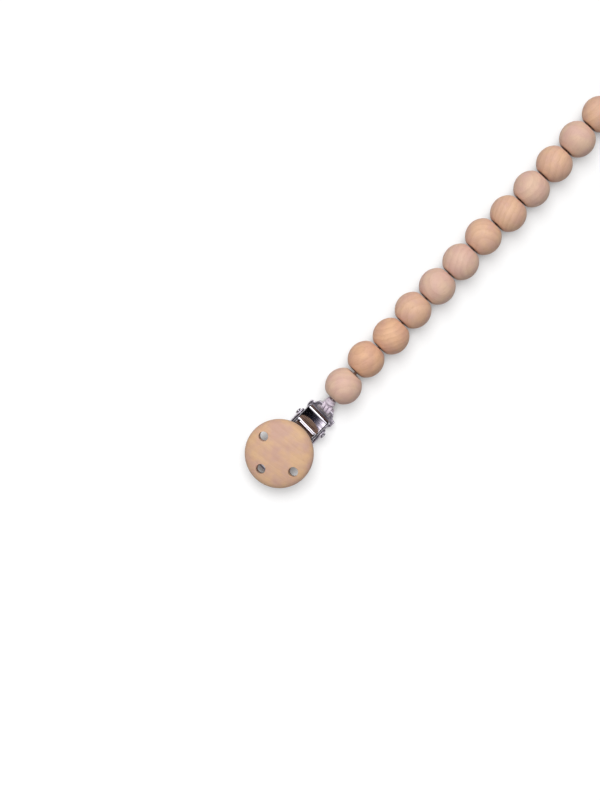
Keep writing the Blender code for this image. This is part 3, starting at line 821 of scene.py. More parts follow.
@dataclass
class FormedSheet:
    """A stamping: a flat pattern with rounded rims, bent along X and folded at its sides."""

    thickness: float
    rim: float
    # Where the sheet bends, as (x, length of the bend, slope after it)
    bends: Sequence[Corner]
    first_slope: float
    fold: Fold
    fold_at: float
    fold_inside: float
    crown: Callable[[float, float], float] = lambda x, y: 0.0
    # How closely the blank is cut along X and across it, and where tight bends need closer cuts
    cut_step: float = 0.3 * MM
    cross_step: float = 1.0 * MM
    fine_step: float = 0.07 * MM
    fine: Sequence[Point] = ()
    fold_cuts: int = 8
    sum_step: float = 0.05 * MM

    def slope(self, x: float) -> float:
        """The sheet's slope.

        Args:
            x: A place along X.

        Returns:
            The slope there, in radians.
        """
        slope = self.first_slope
        for where, run, after in self.bends:
            slope += (after - slope) * eased((x - where) / run + 0.5)
        return slope

    def rise(self, start: float, end: float) -> Callable[[float], float]:
        """The underside's height along X.

        Args:
            start: Where it is zero.
            end: How far it is needed.

        Returns:
            A function that gives the height at a place along X.
        """
        places = np.arange(start, end + self.sum_step, self.sum_step)
        slopes = np.array([math.tan(self.slope(x)) for x in places])
        heights = np.concatenate([[0.0], np.cumsum((slopes[1:] + slopes[:-1]) / 2 * self.sum_step)])
        return lambda x: float(np.interp(x, places, heights))

    def fold_length(self) -> float:
        """How much of the flat pattern one fold takes up."""
        return RIGHT * (self.fold_inside + self.thickness / 2)

    def section(self, v: float, t: float) -> Corner:
        """Folds one point of a section across the sheet.

        Args:
            v: How far it is from the middle of the flat pattern.
            t: How far it is above the underside.

        Returns:
            Its place along Y, its height, and how much of that height is the sheet's own thickness.
        """
        over = abs(v) - self.fold_at
        if over <= 0:
            return v, t, t
        angle = min(RIGHT, over / (self.fold_inside + self.thickness / 2))
        past = max(0.0, over - self.fold_length())
        up = self.fold is Fold.UP
        radius = self.fold_inside + (self.thickness - t if up else t)
        y = self.fold_at + radius * math.sin(angle)
        drop = self.fold_inside - radius * math.cos(angle) + past
        z = self.thickness + drop if up else -drop
        return math.copysign(y, v), z, t * math.cos(angle)

    def mesh(self, outlines: Sequence[Sequence[Point]], anchor: Point) -> Mesh:
        """Cuts and forms the sheet.

        Args:
            outlines: The flat pattern's outer outline and its holes.
            anchor: A place along X and the underside's height there.

        Returns:
            The formed mesh, with normals that follow the true surface.
        """
        blank = self.blank(outlines)
        places = [x for x, _ in outlines[0]]
        rise = self.rise(min(places), max(places))
        base = anchor[1] - rise(anchor[0])
        half = self.thickness / 2

        def formed(x: float, v: float, z: float) -> Vector:
            """Forms one point of the blank.

            Args:
                x: Its place along X.
                v: How far it is from the middle of the flat pattern.
                z: How far it is above the middle of the sheet.

            Returns:
                Its place in the formed sheet.
            """
            y, height, own = self.section(v, z + half)
            slope = self.slope(x)
            lift = base + rise(x) + self.crown(x, v)
            return Vector((x - math.sin(slope) * own, y, lift + math.cos(slope) * own + height - own))

        normals = []
        for spot in blank.vertices:
            here = spot.co.copy()
            flat = abs(abs(here.z) - half) < WELD
            plain = Z_AXIS * math.copysign(1.0, here.z) if flat else spot.normal.copy()
            rows = []
            for axis in (X_AXIS, Y_AXIS, Z_AXIS):
                ahead, behind = here + axis * NUDGE, here - axis * NUDGE
                rows.append((formed(*ahead) - formed(*behind)) / (2 * NUDGE))
            turn = Matrix(rows).transposed()
            normals.append((turn.inverted_safe().transposed() @ plain).normalized())
        for spot in blank.vertices:
            spot.co = formed(*spot.co)
        blank.shade_smooth()
        blank.normals_split_custom_set_from_vertices(normals)
        return blank

    def blank(self, outlines: Sequence[Sequence[Point]]) -> Mesh:
        """The flat pattern, with rounded rims, cut finely where it will bend.

        Args:
            outlines: The outer outline and the holes.

        Returns:
            A closed flat mesh, centred on z = 0.
        """
        curve = bpy.data.curves.new("blank", "CURVE")
        curve.dimensions = "2D"
        curve.fill_mode = "BOTH"
        curve.extrude = self.thickness / 2 - self.rim
        curve.bevel_depth = self.rim
        curve.bevel_resolution = 3
        curve.offset = -self.rim
        for points in outlines:
            spline = curve.splines.new("POLY")
            spline.points.add(len(points) - 1)
            for spot, (x, y) in zip(spline.points, points):
                spot.co = (x, y, 0.0, 1.0)
            spline.use_cyclic_u = True
        thing = placed("blank", curve)
        mesh = evaluated(thing)
        bpy.data.objects.remove(thing, do_unlink=True)
        shape = bmesh.new()
        shape.from_mesh(mesh)
        bmesh.ops.remove_doubles(shape, verts=shape.verts, dist=2 * WELD)
        low = min(spot.co.x for spot in shape.verts)
        high = max(spot.co.x for spot in shape.verts)
        wide = max(spot.co.y for spot in shape.verts)
        cuts = [(X_AXIS, x) for x in np.arange(low + self.cut_step, high, self.cut_step)]
        for start, end in self.fine:
            cuts += [(X_AXIS, x) for x in np.arange(start, end, self.fine_step)]
        cuts += [(Y_AXIS, y) for y in np.arange(-wide, wide, self.cross_step)]
        for k in range(self.fold_cuts + 1):
            v = self.fold_at + self.fold_length() * k / self.fold_cuts
            cuts += [(Y_AXIS, -v), (Y_AXIS, v)]
        for axis, place in cuts:
            geometry = [*shape.verts, *shape.edges, *shape.faces]
            bmesh.ops.bisect_plane(
                shape, geom=geometry, dist=WELD, plane_co=axis * float(place), plane_no=axis
            )
        return finished(shape)


# The clip


@dataclass(frozen=True)
class ClipPlan:
    """Sizes that several pieces of the clip share, in the clip's frame, whose +X points to the strap loop."""

    pin_x: float = 19.0 * MM
    pin_z: float = 4.6 * MM
    pin_radius: float = 0.9 * MM
    fit: float = 0.3 * MM
    jaw_pitch: float = math.radians(9.5)
    tip_x: float = -9.5 * MM
    tip_round: float = 2.5 * MM
    jaw_half_width: float = 6.0 * MM
    base_sheet: float = 0.8 * MM
    lever_sheet: float = 0.7 * MM
    loop_rise: float = math.radians(24.5)
    bar_x: float = 28.7 * MM
    bar_width: float = 1.2 * MM
    valley_x: float = 16.9 * MM
    valley_height: float = 6.9 * MM
    fold_inside: float = 0.3 * MM
    pin_hole_sides: int = 16
    middle_hole_sides: int = 20

    def matrix(self) -> Matrix:
        """Where the clip is and how it is turned.

        Returns:
            Its frame, from the hinge's place and axis.
        """
        across = joint_axis("jaw_hinge")
        along = across.cross(Z_AXIS)
        turn = Matrix((along, across, Z_AXIS)).transposed().to_4x4()
        place = joint_point("jaw_hinge") - along * self.pin_x - Z_AXIS * self.pin_z
        return Matrix.Translation(place) @ turn

    def pin_holes(self, v: float) -> list[list[Point]]:
        """The pin's two holes in a flat pattern, v from its middle."""
        radius, sides = self.pin_radius + self.fit, self.pin_hole_sides
        return [round_hole(self.pin_x, side * v, radius, sides) for side in (1, -1)]

    def middle_hole(self, x: float, radius: float) -> list[Point]:
        """A hole for a peg or shank in the middle of a flat pattern."""
        return round_hole(x, 0.0, radius + self.fit, self.middle_hole_sides)


@dataclass
class BaseAssembly:
    """The clip's back plate with its pin, spring and toothed pad."""

    plan: ClipPlan
    lever: "LeverAssembly"
    rim: float = 0.36 * MM
    ear_start_x: float = 13.2 * MM
    ear_step: float = 0.6 * MM
    ear_lean: float = 1.1 * MM
    ear_top_radius: float = 2.4 * MM
    ear_round: float = 2.2 * MM
    ear_notch: float = 0.1 * MM
    step_round: float = 0.5 * MM
    outer_round: float = 0.9 * MM
    # Corners of the strap loop, each with its rounding
    neck: Corner = (23.2 * MM, 6.1 * MM, 0.8 * MM)
    waist: Corner = (27.3 * MM, 5.2 * MM, 1.4 * MM)
    shoulder: Point = (25.5 * MM, 7.8 * MM)
    shoulder_reach: Point = (-1.0 * MM, 1.1 * MM)
    loop_end_half_width: float = 4.1 * MM
    loop_round: float = 1.0 * MM
    slot_start: Point = (25.2 * MM, 6.0 * MM)
    slot_end_half_width: float = 3.4 * MM
    slot_hollow: float = 0.5 * MM
    slot_round: float = 2.0 * MM
    web_sheet: float = 0.4 * MM
    web_rim: float = 0.05 * MM
    web_drop: float = 0.1 * MM
    web_lap: float = 0.3 * MM
    web_end_x: float = 26.4 * MM
    web_pass_half_width: float = 3.45 * MM
    loop_bend_x: float = 20.8 * MM
    loop_bend_run: float = 1.6 * MM
    insert_set_back: float = 0.5 * MM
    insert_length: float = 8.0 * MM
    insert_half_width: float = 5.4 * MM
    insert_height: float = 0.7 * MM
    insert_teeth: int = 5
    insert_edge: float = 0.35 * MM
    # How much of its length and height the pad loses at its soft sides
    insert_shrink: Point = (0.5, 0.35)
    foot_round: float = 0.1 * MM
    root_round: float = 0.15 * MM
    tooth_height: float = 0.4 * MM
    tooth_round: float = 0.2 * MM
    tooth_corner_steps: int = 3
    peg_radius: float = 1.2 * MM
    peg_steps: int = 32
    sharp_angle: float = math.radians(40.0)
    head_radius: float = 1.4 * MM
    head_height: float = 0.7 * MM
    # The pin head's dimpled top as shares of its radius and height, each corner with its rounding
    head_shares: Sequence[Corner] = (
        (0.0, 0.75, 0.0),
        (0.35, 0.75, 0.2 * MM),
        (0.55, 1.0, 0.2 * MM),
        (1.0, 0.8, 0.35 * MM),
        (1.0, 0.0, 0.15 * MM),
    )
    pin_round: float = 0.05 * MM
    pin_steps: int = 40
    head_corner_steps: int = 4
    wire: float = 0.6 * MM
    wire_sides: int = 14
    coil_radius: float = 1.75 * MM
    coil_pitch: float = 1.05 * MM
    coil_turns: float = 4.5
    coil_points: int = 28
    coil_hold: float = 0.1 * MM
    leg: float = 4.2 * MM
    # How far a leg runs straight off the coil, in wire diameters
    leg_lead: float = 2.2
    steel: NickelPlate = NickelPlate("#CFC8D4", 0.4, film_share=0.35)
    pin_steel: NickelPlate = NickelPlate("#A8A4AB", 0.14)
    spring_steel: NickelPlate = NickelPlate("#9C9A98", 0.22)
    nylon: MouldedPlastic = MouldedPlastic("#E9E6E0")

    def sheet(self) -> FormedSheet:
        """The plate's bends and folds.

        Returns:
            The sheet that it is stamped from.
        """
        return FormedSheet(
            thickness=self.plan.base_sheet,
            rim=self.rim,
            bends=[(self.loop_bend_x, self.loop_bend_run, self.plan.loop_rise)],
            first_slope=0.0,
            fold=Fold.UP,
            fold_at=self.plan.jaw_half_width,
            fold_inside=self.plan.fold_inside,
        )

    def insert_middle(self) -> float:
        """Where the middle of the toothed pad is along the clip."""
        return self.plan.tip_x + self.insert_set_back + self.insert_length / 2

    def plate(self) -> Mesh:
        """Stamps the back plate: jaw, two ears, and the strap loop with its slot.

        Returns:
            The plate, in the clip's frame.
        """
        plan, sheet = self.plan, self.sheet()
        foot = sheet.fold_at + sheet.fold_length()
        pin_v = foot - plan.base_sheet - plan.fold_inside + plan.pin_z
        ear_end, ear_top = plan.pin_x + self.ear_top_radius, pin_v + self.ear_top_radius
        jaw, loop_end = plan.jaw_half_width, plan.bar_x + plan.bar_width / 2
        out_x, out_y = self.shoulder
        half = [
            (plan.tip_x, 0.0, 0.0),
            (plan.tip_x, jaw, plan.tip_round),
            (self.ear_start_x, jaw, self.step_round),
            (self.ear_start_x, foot + self.ear_step, self.outer_round),
            (plan.pin_x - self.ear_lean, ear_top, self.ear_round),
            (ear_end, ear_top, self.ear_round),
            (ear_end, jaw + self.ear_notch, self.step_round),
            self.neck,
            *((out_x + reach, out_y, self.outer_round) for reach in self.shoulder_reach),
            self.waist,
            (loop_end, self.loop_end_half_width, self.loop_round),
            (loop_end, 0.0, 0.0),
        ]
        slot_x, slot_y = self.slot_start
        hollow = (slot_y + self.slot_end_half_width) / 2 - self.slot_hollow
        slot = [
            (slot_x, slot_y, self.step_round),
            (self.waist[0], hollow, self.slot_round),
            (plan.bar_x - plan.bar_width / 2, self.slot_end_half_width, self.step_round),
        ]
        holes = [*plan.pin_holes(pin_v), plan.middle_hole(self.insert_middle(), self.peg_radius)]
        outlines = [mirrored(softened(half)), mirrored(softened(slot))[::-1], *holes]
        return together(sheet.mesh(outlines, (plan.tip_x, 0.0)), self.web())

    def web(self) -> Mesh:
        """The sunk web that half fills the strap slot and stops short of the cord's turns.

        Returns:
            The web, in the clip's frame.
        """
        sheet, plan, lap = self.sheet(), self.plan, self.web_lap
        height = sheet.rise(plan.tip_x, plan.bar_x)
        sheet.thickness = self.web_sheet
        sheet.rim = self.web_rim
        slot_x, slot_y = self.slot_start
        start, bar_x = slot_x - lap, plan.bar_x - plan.bar_width / 2 + lap
        half = [
            (start, slot_y + lap),
            (slot_x + lap, slot_y + lap),
            (self.waist[0], (slot_y + self.slot_end_half_width) / 2),
            (bar_x, self.slot_end_half_width + lap),
            (bar_x, self.web_pass_half_width),
            (self.web_end_x, self.web_pass_half_width),
        ]
        return sheet.mesh([mirrored(half)], (start, height(start) + self.web_drop))

    def pin(self) -> Mesh:
        """Turns the hinge pin, with a domed and dimpled head at each end.

        Returns:
            The pin, along Y.
        """
        inner = self.plan.jaw_half_width + self.plan.fold_inside + self.plan.base_sheet + self.plan.fit
        half = [(r * self.head_radius, inner + z * self.head_height, soft) for r, z, soft in self.head_shares]
        half.append((self.plan.pin_radius, inner, self.pin_round))
        whole = [*half, *((r, -z, soft) for r, z, soft in reversed(half))]
        mesh = lathe(softened(whole, steps=self.head_corner_steps), self.pin_steps)
        mesh.transform(Matrix.Rotation(RIGHT, 4, "X"))
        return mesh

    def insert(self) -> Mesh:
        """Moulds the toothed pad and its peg, with softened edges.

        Returns:
            One closed mesh, in the clip's frame.
        """
        start = self.plan.tip_x + self.insert_set_back
        end = start + self.insert_length
        foot = self.plan.base_sheet + self.plan.fit
        top = foot + self.insert_height
        pitch = self.insert_length / self.insert_teeth
        teeth = []
        for k in range(self.insert_teeth):
            x = end - k * pitch
            teeth.append((x, top, self.root_round))
            teeth.append((x - pitch / 2, top + self.tooth_height, self.tooth_round))
        feet = [(start, foot, self.foot_round), (end, foot, self.foot_round)]
        corners = [*feet, *teeth, (start, top, self.root_round)]
        outline = softened(corners, closed=True, steps=self.tooth_corner_steps)
        middle_x, middle_z = (start + end) / 2, (foot + top) / 2
        pull = 1 - self.insert_shrink[0] * self.insert_edge / self.insert_length
        lift = 1 - self.insert_shrink[1]
        wide = self.insert_half_width
        rings = []
        for y, x_share, z_share in (
            (wide, pull, lift),
            (wide - self.insert_edge, 1.0, 1.0),
            (self.insert_edge - wide, 1.0, 1.0),
            (-wide, pull, lift),
        ):
            ring = []
            for x, z in outline:
                spot = (middle_x + (x - middle_x) * x_share, y, middle_z + (z - middle_z) * z_share)
                ring.append(Vector(spot))
            rings.append(ring)
        pad = skinned(rings)
        peg_top = foot + self.insert_height / 2
        radius, fit = self.peg_radius, self.plan.fit
        corners = [
            (0.0, peg_top, 0.0),
            (radius, peg_top, 0.0),
            (radius, fit, self.root_round),
            (0.0, fit, 0.0),
        ]
        peg = lathe(softened(corners), self.peg_steps)
        peg.transform(Matrix.Translation((self.insert_middle(), 0.0, 0.0)))
        whole = joined_solid(pad, peg, "UNION")
        whole.set_sharp_from_angle(angle=self.sharp_angle)
        return whole

    def spring(self) -> Mesh:
        """Winds the torsion spring, with a bent leg on the plate and one under the thumb tail.

        Returns:
            The spring, centred on the pin.
        """
        plan = self.plan
        coil = winding(self.coil_radius, self.coil_pitch, self.coil_turns, self.coil_points)
        low = math.tan(plan.loop_rise) * (plan.pin_x + self.leg - self.loop_bend_x)
        low += plan.base_sheet / math.cos(plan.loop_rise) + plan.fit + self.wire / 2 - plan.pin_z
        high = self.lever.under(plan.pin_x + self.leg) - plan.fit - self.wire - plan.pin_z
        first, last = coil[0], coil[-1]
        lead = X_AXIS * (self.leg_lead * self.wire)
        start = smooth_route([Vector((self.leg, first.y, low)), first + lead, first])
        end = smooth_route([last, last + lead, Vector((self.leg, last.y, high))])
        return cord_mesh([*start[:-1], *coil, *end[1:]], self.wire, lay=0.0, sides=self.wire_sides)

    def build(self) -> None:
        """Makes the four pieces."""
        matrix = self.plan.matrix()
        plated = self.steel.material("nickel_plated_back_plate")
        add_piece("back_plate", self.plate(), plated, "clip_base", "base_plate", matrix)
        plated = self.pin_steel.material("nickel_plated_pin")
        at_pin = matrix @ Matrix.Translation((self.plan.pin_x, 0.0, self.plan.pin_z))
        add_piece("headed_pin", self.pin(), plated, "clip_base", "hinge_pin", at_pin)
        nylon = self.nylon.material("moulded_nylon")
        add_piece("toothed_pad", self.insert(), nylon, "clip_base", "jaw_insert", matrix)
        mesh = self.spring()
        mesh.transform(at_pin)
        mesh.materials.append(self.spring_steel.material("drawn_spring_wire"))
        spring = placed("wound_spring", mesh)
        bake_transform(spring)
        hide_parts("torsion_spring")
        log.info("wound_spring: %d faces from clip_base to lever", len(mesh.polygons))


@dataclass
class LeverAssembly:
    """The front plate with its thumb tail, the wooden disc on it, and the rivet between them."""

    plan: ClipPlan
    rim: float = 0.2 * MM
    tip_x: float = -9.0 * MM
    half_width: float = 6.0 * MM
    valley_end_x: float = 17.35 * MM
    valley_run: float = 0.4 * MM
    tail_slope: float = math.radians(27.5)
    crest_x: float = 23.6 * MM
    crest_run: float = 0.7 * MM
    crest_lead: float = 0.6 * MM
    end_x: float = 24.6 * MM
    lip_slope: float = math.radians(-42.0)
    tail_half_width: float = 7.0 * MM
    tail_lead: float = 1.0 * MM
    tail_round: float = 0.8 * MM
    tail_crown: float = 0.36 * MM
    crown_run: float = 3.3 * MM
    rib_x: float = 16.25 * MM
    rib_height: float = 0.46 * MM
    rib_width: float = 0.6 * MM
    rib_half_length: float = 5.0 * MM
    rib_fade: float = 0.6 * MM
    flange_start_x: float = 14.8 * MM
    flange_lean: float = 1.6 * MM
    flange_radius: float = 2.7 * MM
    flange_round: float = 2.6 * MM
    step_round: float = 0.3 * MM
    # Corners behind a flange: how far past it, how far outside the fold, and the rounding
    notch: Sequence[Corner] = ((0.0, 0.5 * MM, 0.4 * MM), (0.5 * MM, 0.7 * MM, 0.3 * MM))
    disc_radius: float = 15.0 * MM
    disc_height: float = 8.3 * MM
    disc_foot_radius: float = 13.1 * MM
    belt_low: float = 2.4 * MM
    belt_high: float = 3.6 * MM
    dome_power: float = 2.3
    dome_rings: int = 30
    foot_rings: int = 10
    disc_steps: int = 128
    # Rings of the flat foot, as shares of its radius
    foot_shares: Sequence[float] = (0.75, 0.5, 0.25, 0.0)
    sharp_angle: float = math.radians(50.0)
    vent_radius: float = 2.15 * MM
    vent_rim: float = 0.32 * MM
    vent_lap: float = 0.05 * MM
    vent_circle: float = 10.0 * MM
    vent_turn: float = math.radians(-4.5)
    vent_steps: int = 48
    vent_rim_steps: int = 6
    overrun: float = 2.0 * MM
    shank_radius: float = 1.1 * MM
    bore_steps: int = 32
    rivet_grip: float = 4.2 * MM
    rivet_head: Point = (2.0 * MM, 0.6 * MM)
    # The rivet head's corners as shares of its radius and height, each with its rounding
    rivet_shares: Sequence[Corner] = (
        (1.0, 0.0, 0.1 * MM),
        (1.0, 0.5, 0.3 * MM),
        (0.5, 1.0, 0.5 * MM),
        (0.0, 1.0, 0.0),
    )
    shank_round: float = 0.3 * MM
    seat_round: float = 0.05 * MM
    rivet_steps: int = 40
    steel: NickelPlate = NickelPlate("#ADA9B1", 0.08, film="#3A363A", film_share=0.55)
    rivet_steel: NickelPlate = NickelPlate("#A8A4AB", 0.16)
    wood: SandedWood = SandedWood(
        WoodTone.DISC, ring_width=3.0 * MM, ring_strength=0.14, fibre_strength=0.36
    )
    wood_seed: int = 11
    wood_grain: Corner = (RIGHT, math.radians(12.0), 0.0)

    def sheet(self) -> FormedSheet:
        """The plate's bends and folds.

        Returns:
            The sheet that it is stamped from.
        """
        rib_start = self.rib_x - 2 * self.rib_width
        return FormedSheet(
            thickness=self.plan.lever_sheet,
            rim=self.rim,
            bends=[
                (self.plan.valley_x, self.valley_run, 0.0),
                (self.valley_end_x, self.valley_run, self.tail_slope),
                (self.crest_x, self.crest_run, self.lip_slope),
            ],
            first_slope=self.plan.jaw_pitch,
            fold=Fold.DOWN,
            fold_at=self.half_width - self.plan.lever_sheet - self.plan.fold_inside,
            fold_inside=self.plan.fold_inside,
            crown=self.pressed,
            fine=[
                (rib_start, self.valley_end_x + self.valley_run),
                (self.crest_x - self.crest_lead, self.end_x),
            ],
        )

    def pressed(self, x: float, v: float) -> float:
        """How far the press raised the sheet: a rib across it, and a slight crown on the tail.

        Args:
            x: A place along X.
            v: How far it is from the middle of the flat pattern.

        Returns:
            The height of both.
        """
        across = clamped((self.rib_half_length - abs(v)) / self.rib_fade)
        rib = self.rib_height * math.exp(-(((x - self.rib_x) / self.rib_width) ** 2)) * across
        onset = clamped((x - self.valley_end_x) / self.crown_run)
        return rib + self.tail_crown * onset * (1 - clamped(abs(v) / self.tail_half_width) ** 2)

    def under(self, x: float) -> float:
        """The underside's height at x."""
        rise = self.sheet().rise(self.tip_x, self.end_x)
        return self.plan.valley_height - rise(self.plan.valley_x) + rise(x)

    def plate(self) -> Mesh:
        """Stamps the front plate: jaw, rib, side flanges with pin holes, and the tail with its lip.

        Returns:
            The plate, in the clip's frame.
        """
        plan, sheet = self.plan, self.sheet()
        foot = sheet.fold_at + sheet.fold_length()
        # Flat pattern: the flange's depth below the sheet at the pin, counted from the end of the fold
        pin_v = foot + self.under(plan.pin_x) - sheet.fold_inside - plan.pin_z
        flange_end, flange_v = plan.pin_x + self.flange_radius, pin_v + self.flange_radius
        half = [
            (self.tip_x, 0.0, 0.0),
            (self.tip_x, self.half_width, plan.tip_round),
            (self.flange_start_x, self.half_width, self.step_round),
            (self.flange_start_x, foot + self.step_round, self.step_round),
            (plan.pin_x - self.flange_lean, flange_v, self.flange_round),
            (flange_end, flange_v, self.flange_round),
            *((flange_end + past, sheet.fold_at + out, soft) for past, out, soft in self.notch),
            (self.crest_x - self.tail_lead, self.tail_half_width, self.tail_round),
            (self.end_x, self.tail_half_width, self.tail_round),
            (self.end_x, 0.0, 0.0),
        ]
        holes = [*plan.pin_holes(pin_v), plan.middle_hole(0.0, self.shank_radius)]
        return sheet.mesh([mirrored(softened(half)), *holes], (plan.valley_x, plan.valley_height))

    def disc_frame(self) -> Matrix:
        """Where the disc is, in the clip's frame.

        Returns:
            A frame under the middle of the disc's foot, with +Z square to the plate.
        """
        pitch = self.plan.jaw_pitch
        proud = self.plan.lever_sheet + self.plan.fit
        along = ((self.belt_low + self.belt_high) / 2 + proud) * math.tan(pitch)
        plane = Matrix.Translation((0.0, 0.0, self.under(0.0))) @ Matrix.Rotation(-pitch, 4, "Y")
        return plane @ Matrix.Translation((along, 0.0, proud))

    def dome(self, radius: float) -> float:
        """The disc's height above its foot.

        Args:
            radius: How far from its middle.

        Returns:
            The height there.
        """
        share = min(1.0, radius / self.disc_radius)
        rise = (1 - share**self.dome_power) ** (1 / self.dome_power)
        return self.belt_high + (self.disc_height - self.belt_high) * rise

    def disc(self) -> Mesh:
        """Turns the disc and drills its vents, each with a softly rounded rim, and the rivet's hole.

        Returns:
            The disc, in its own frame.
        """
        power = 2 / self.dome_power
        dome = self.disc_height - self.belt_high
        profile = [(0.0, self.disc_height)]
        for k in range(1, self.dome_rings + 1):
            a = RIGHT * (1 - k / self.dome_rings)
            height = self.belt_high + dome * math.sin(a) ** power
            profile.append((self.disc_radius * math.cos(a) ** power, height))
        foot = self.disc_foot_radius
        for k in range(self.foot_rings + 1):
            a = RIGHT * k / self.foot_rings
            radius = foot + (self.disc_radius - foot) * math.cos(a)
            profile.append((radius, self.belt_low * (1 - math.sin(a))))
        profile += [(foot * share, 0.0) for share in self.foot_shares]
        mesh = lathe(profile, self.disc_steps)
        for quarter in (1, 2, 3):
            turn = Matrix.Rotation(quarter * RIGHT + self.vent_turn, 4, "Z")
            for cutter, place in self.vent_cutters():
                cutter.transform(turn @ place)
                mesh = joined_solid(mesh, cutter, "DIFFERENCE")
        fit = self.plan.fit
        blind = rod(self.shank_radius + fit, -self.overrun / 2, self.rivet_grip + fit, self.bore_steps)
        mesh = joined_solid(mesh, blind, "DIFFERENCE")
        mesh.set_sharp_from_angle(angle=self.sharp_angle)
        return mesh

    def vent_cutters(self) -> list[tuple[Mesh, Matrix]]:
        """Makes the drill for one vent and the two cutters that round its rims.

        Returns:
            Each cutter and its place in the disc.
        """
        steps, rim, spread = self.vent_steps, self.vent_rim, 10 * NUDGE
        slope = (self.dome(self.vent_circle + spread) - self.dome(self.vent_circle - spread)) / (2 * spread)
        flare = [(0.0, self.overrun), (self.vent_radius + rim, self.overrun)]
        for k in range(self.vent_rim_steps + 1):
            a = RIGHT * k / self.vent_rim_steps
            radius = self.vent_radius - self.vent_lap + rim * (1 - math.sin(a))
            flare.append((radius, -rim * (1 - math.cos(a))))
        flare.append((0.0, -rim))
        across = Matrix.Translation((self.vent_circle, 0.0, 0.0))
        top = Matrix.Translation((self.vent_circle, 0.0, self.dome(self.vent_circle)))
        return [
            (rod(self.vent_radius, -self.overrun, self.disc_height + self.overrun, steps), across),
            (lathe(flare, steps), top @ Matrix.Rotation(-math.atan(slope), 4, "Y")),
            (lathe(flare, steps), across @ Matrix.Rotation(2 * RIGHT, 4, "X")),
        ]

    def rivet(self) -> Mesh:
        """Turns the rivet, with its domed head under the plate and its shank in the disc.

        Returns:
            The rivet, in the disc's frame.
        """
        head, tall = self.rivet_head
        seat = -(self.plan.lever_sheet + 2 * self.plan.fit)
        corners = [
            (0.0, self.rivet_grip, 0.0),
            (self.shank_radius, self.rivet_grip, self.shank_round),
            (self.shank_radius, seat, self.seat_round),
            *((r * head, seat - z * tall, soft) for r, z, soft in self.rivet_shares),
        ]
        return lathe(softened(corners), self.rivet_steps)

    def build(self) -> None:
        """Makes the three pieces."""
        matrix = self.plan.matrix()
        plated = self.steel.material("nickel_plated_lever")
        add_piece("front_plate", self.plate(), plated, "lever", "lever_plate", matrix)
        wood = self.wood.material("sanded_disc_wood", self.wood_seed, self.wood_grain)
        at_disc = matrix @ self.disc_frame()
        add_piece("turned_disc", self.disc(), wood, "lever", "wood_disc", at_disc)
        plated = self.rivet_steel.material("nickel_plated_rivet")
        add_piece("blind_rivet", self.rivet(), plated, "lever", "disc_rivet", at_disc)


# Cord, knots and beads


@dataclass
class Tie:
    """The cord's turns round the strap loop's bar, and the knot between them and the first bead."""

    plan: ClipPlan
    cord: Material
    wrap_cord: float = 1.2 * MM
    # Wound tight, the cord spreads along the bar by this share
    wrap_spread: float = 1.25
    wrap_turns: int = 3
    wrap_points: int = 48
    wrap_sides: int = 30
    wrap_pitch: float = 1.66 * MM
    string: float = 1.5 * MM
    ring_radius: float = 2.4 * MM
    tip_radius: float = 2.0 * MM
    knot_turns: float = 2.5
    points_a_turn: int = 36
    # The knot's cord is drawn together to this share of its turns' half height
    drawn_share: float = 2.15
    wobble: float = 0.1 * MM
    climbs_a_turn: int = 3
    # The cord that fills the knot, how far it reaches into the bar's turns and how short of the gap it stops
    core: float = 3.0 * MM
    core_reach: float = 0.6 * MM
    core_short: float = 1.3 * MM

    def wrap_radius(self) -> float:
        """How far the wound cord's middle is from the bar's."""
        bar = math.hypot(self.plan.bar_width, self.plan.base_sheet) / 2
        return bar + self.plan.fit + self.wrap_cord / 2

    def wraps(self) -> Mesh:
        """Winds the cord round the bar in one unbroken length, spread flat by its pull.

        Returns:
            The turns, centred on the bar.
        """
        pitch = self.wrap_pitch / self.wrap_spread
        coil = winding(self.wrap_radius(), pitch, self.wrap_turns, self.wrap_points)
        first = coil[0] + (coil[0] - coil[1]).normalized() * self.wrap_cord
        last = coil[-1] + (coil[-1] - coil[-2]).normalized() * self.wrap_cord
        mesh = cord_mesh([first, *coil, last], self.wrap_cord, sides=self.wrap_sides)
        mesh.transform(Matrix.Scale(self.wrap_spread, 4, Y_AXIS))
        return mesh

    def knot(self, length: float) -> Mesh:
        """Ties the knot: two drawn-up turns round the string, in one unbroken length with it.

        Args:
            length: How far it is from the bar to the first gap, along the knot's +Z.

        Returns:
            The knot's mesh.
        """
        start = self.wrap_radius() + self.wrap_cord / 2 + self.plan.fit
        # Two turns lie one on the other, and this is half of one's height
        half = (length - start) / 4
        route = []
        for k in range(round(self.knot_turns * self.points_a_turn) + 1):
            gone = k / self.points_a_turn
            a = ROUND * gone
            # The cord climbs from the wide turn to the narrow one in a third of a turn
            share = eased((gone - self.knot_turns / 2) * self.climbs_a_turn + 0.5)
            radius = self.ring_radius * (1 - share) + self.tip_radius * share - half
            height = start + half * (1 + 2 * share) + self.wobble * math.cos(a)
            route.append(Vector((radius * math.cos(a), radius * math.sin(a), height)))
        coil = cord_mesh(route, self.drawn_share * half)
        core = cord_mesh(upright(start - self.core_reach, length - self.core_short), self.core)
        return together(coil, core, cord_mesh(upright(start, length), self.string))

    def build(self) -> None:
        """Makes the two pieces."""
        bar = joint_point("tie_swing")
        at_bar = Matrix.Translation(bar) @ self.plan.matrix().to_3x3().to_4x4()
        add_piece("bar_wraps", self.wraps(), self.cord, "tie", "bar_wrap", at_bar)
        away = joint_point("cord_bend_01") - bar
        knot = self.knot(away.length)
        add_piece("neck_tie_knot", knot, self.cord, "tie", "neck_knot", aimed(bar, away))


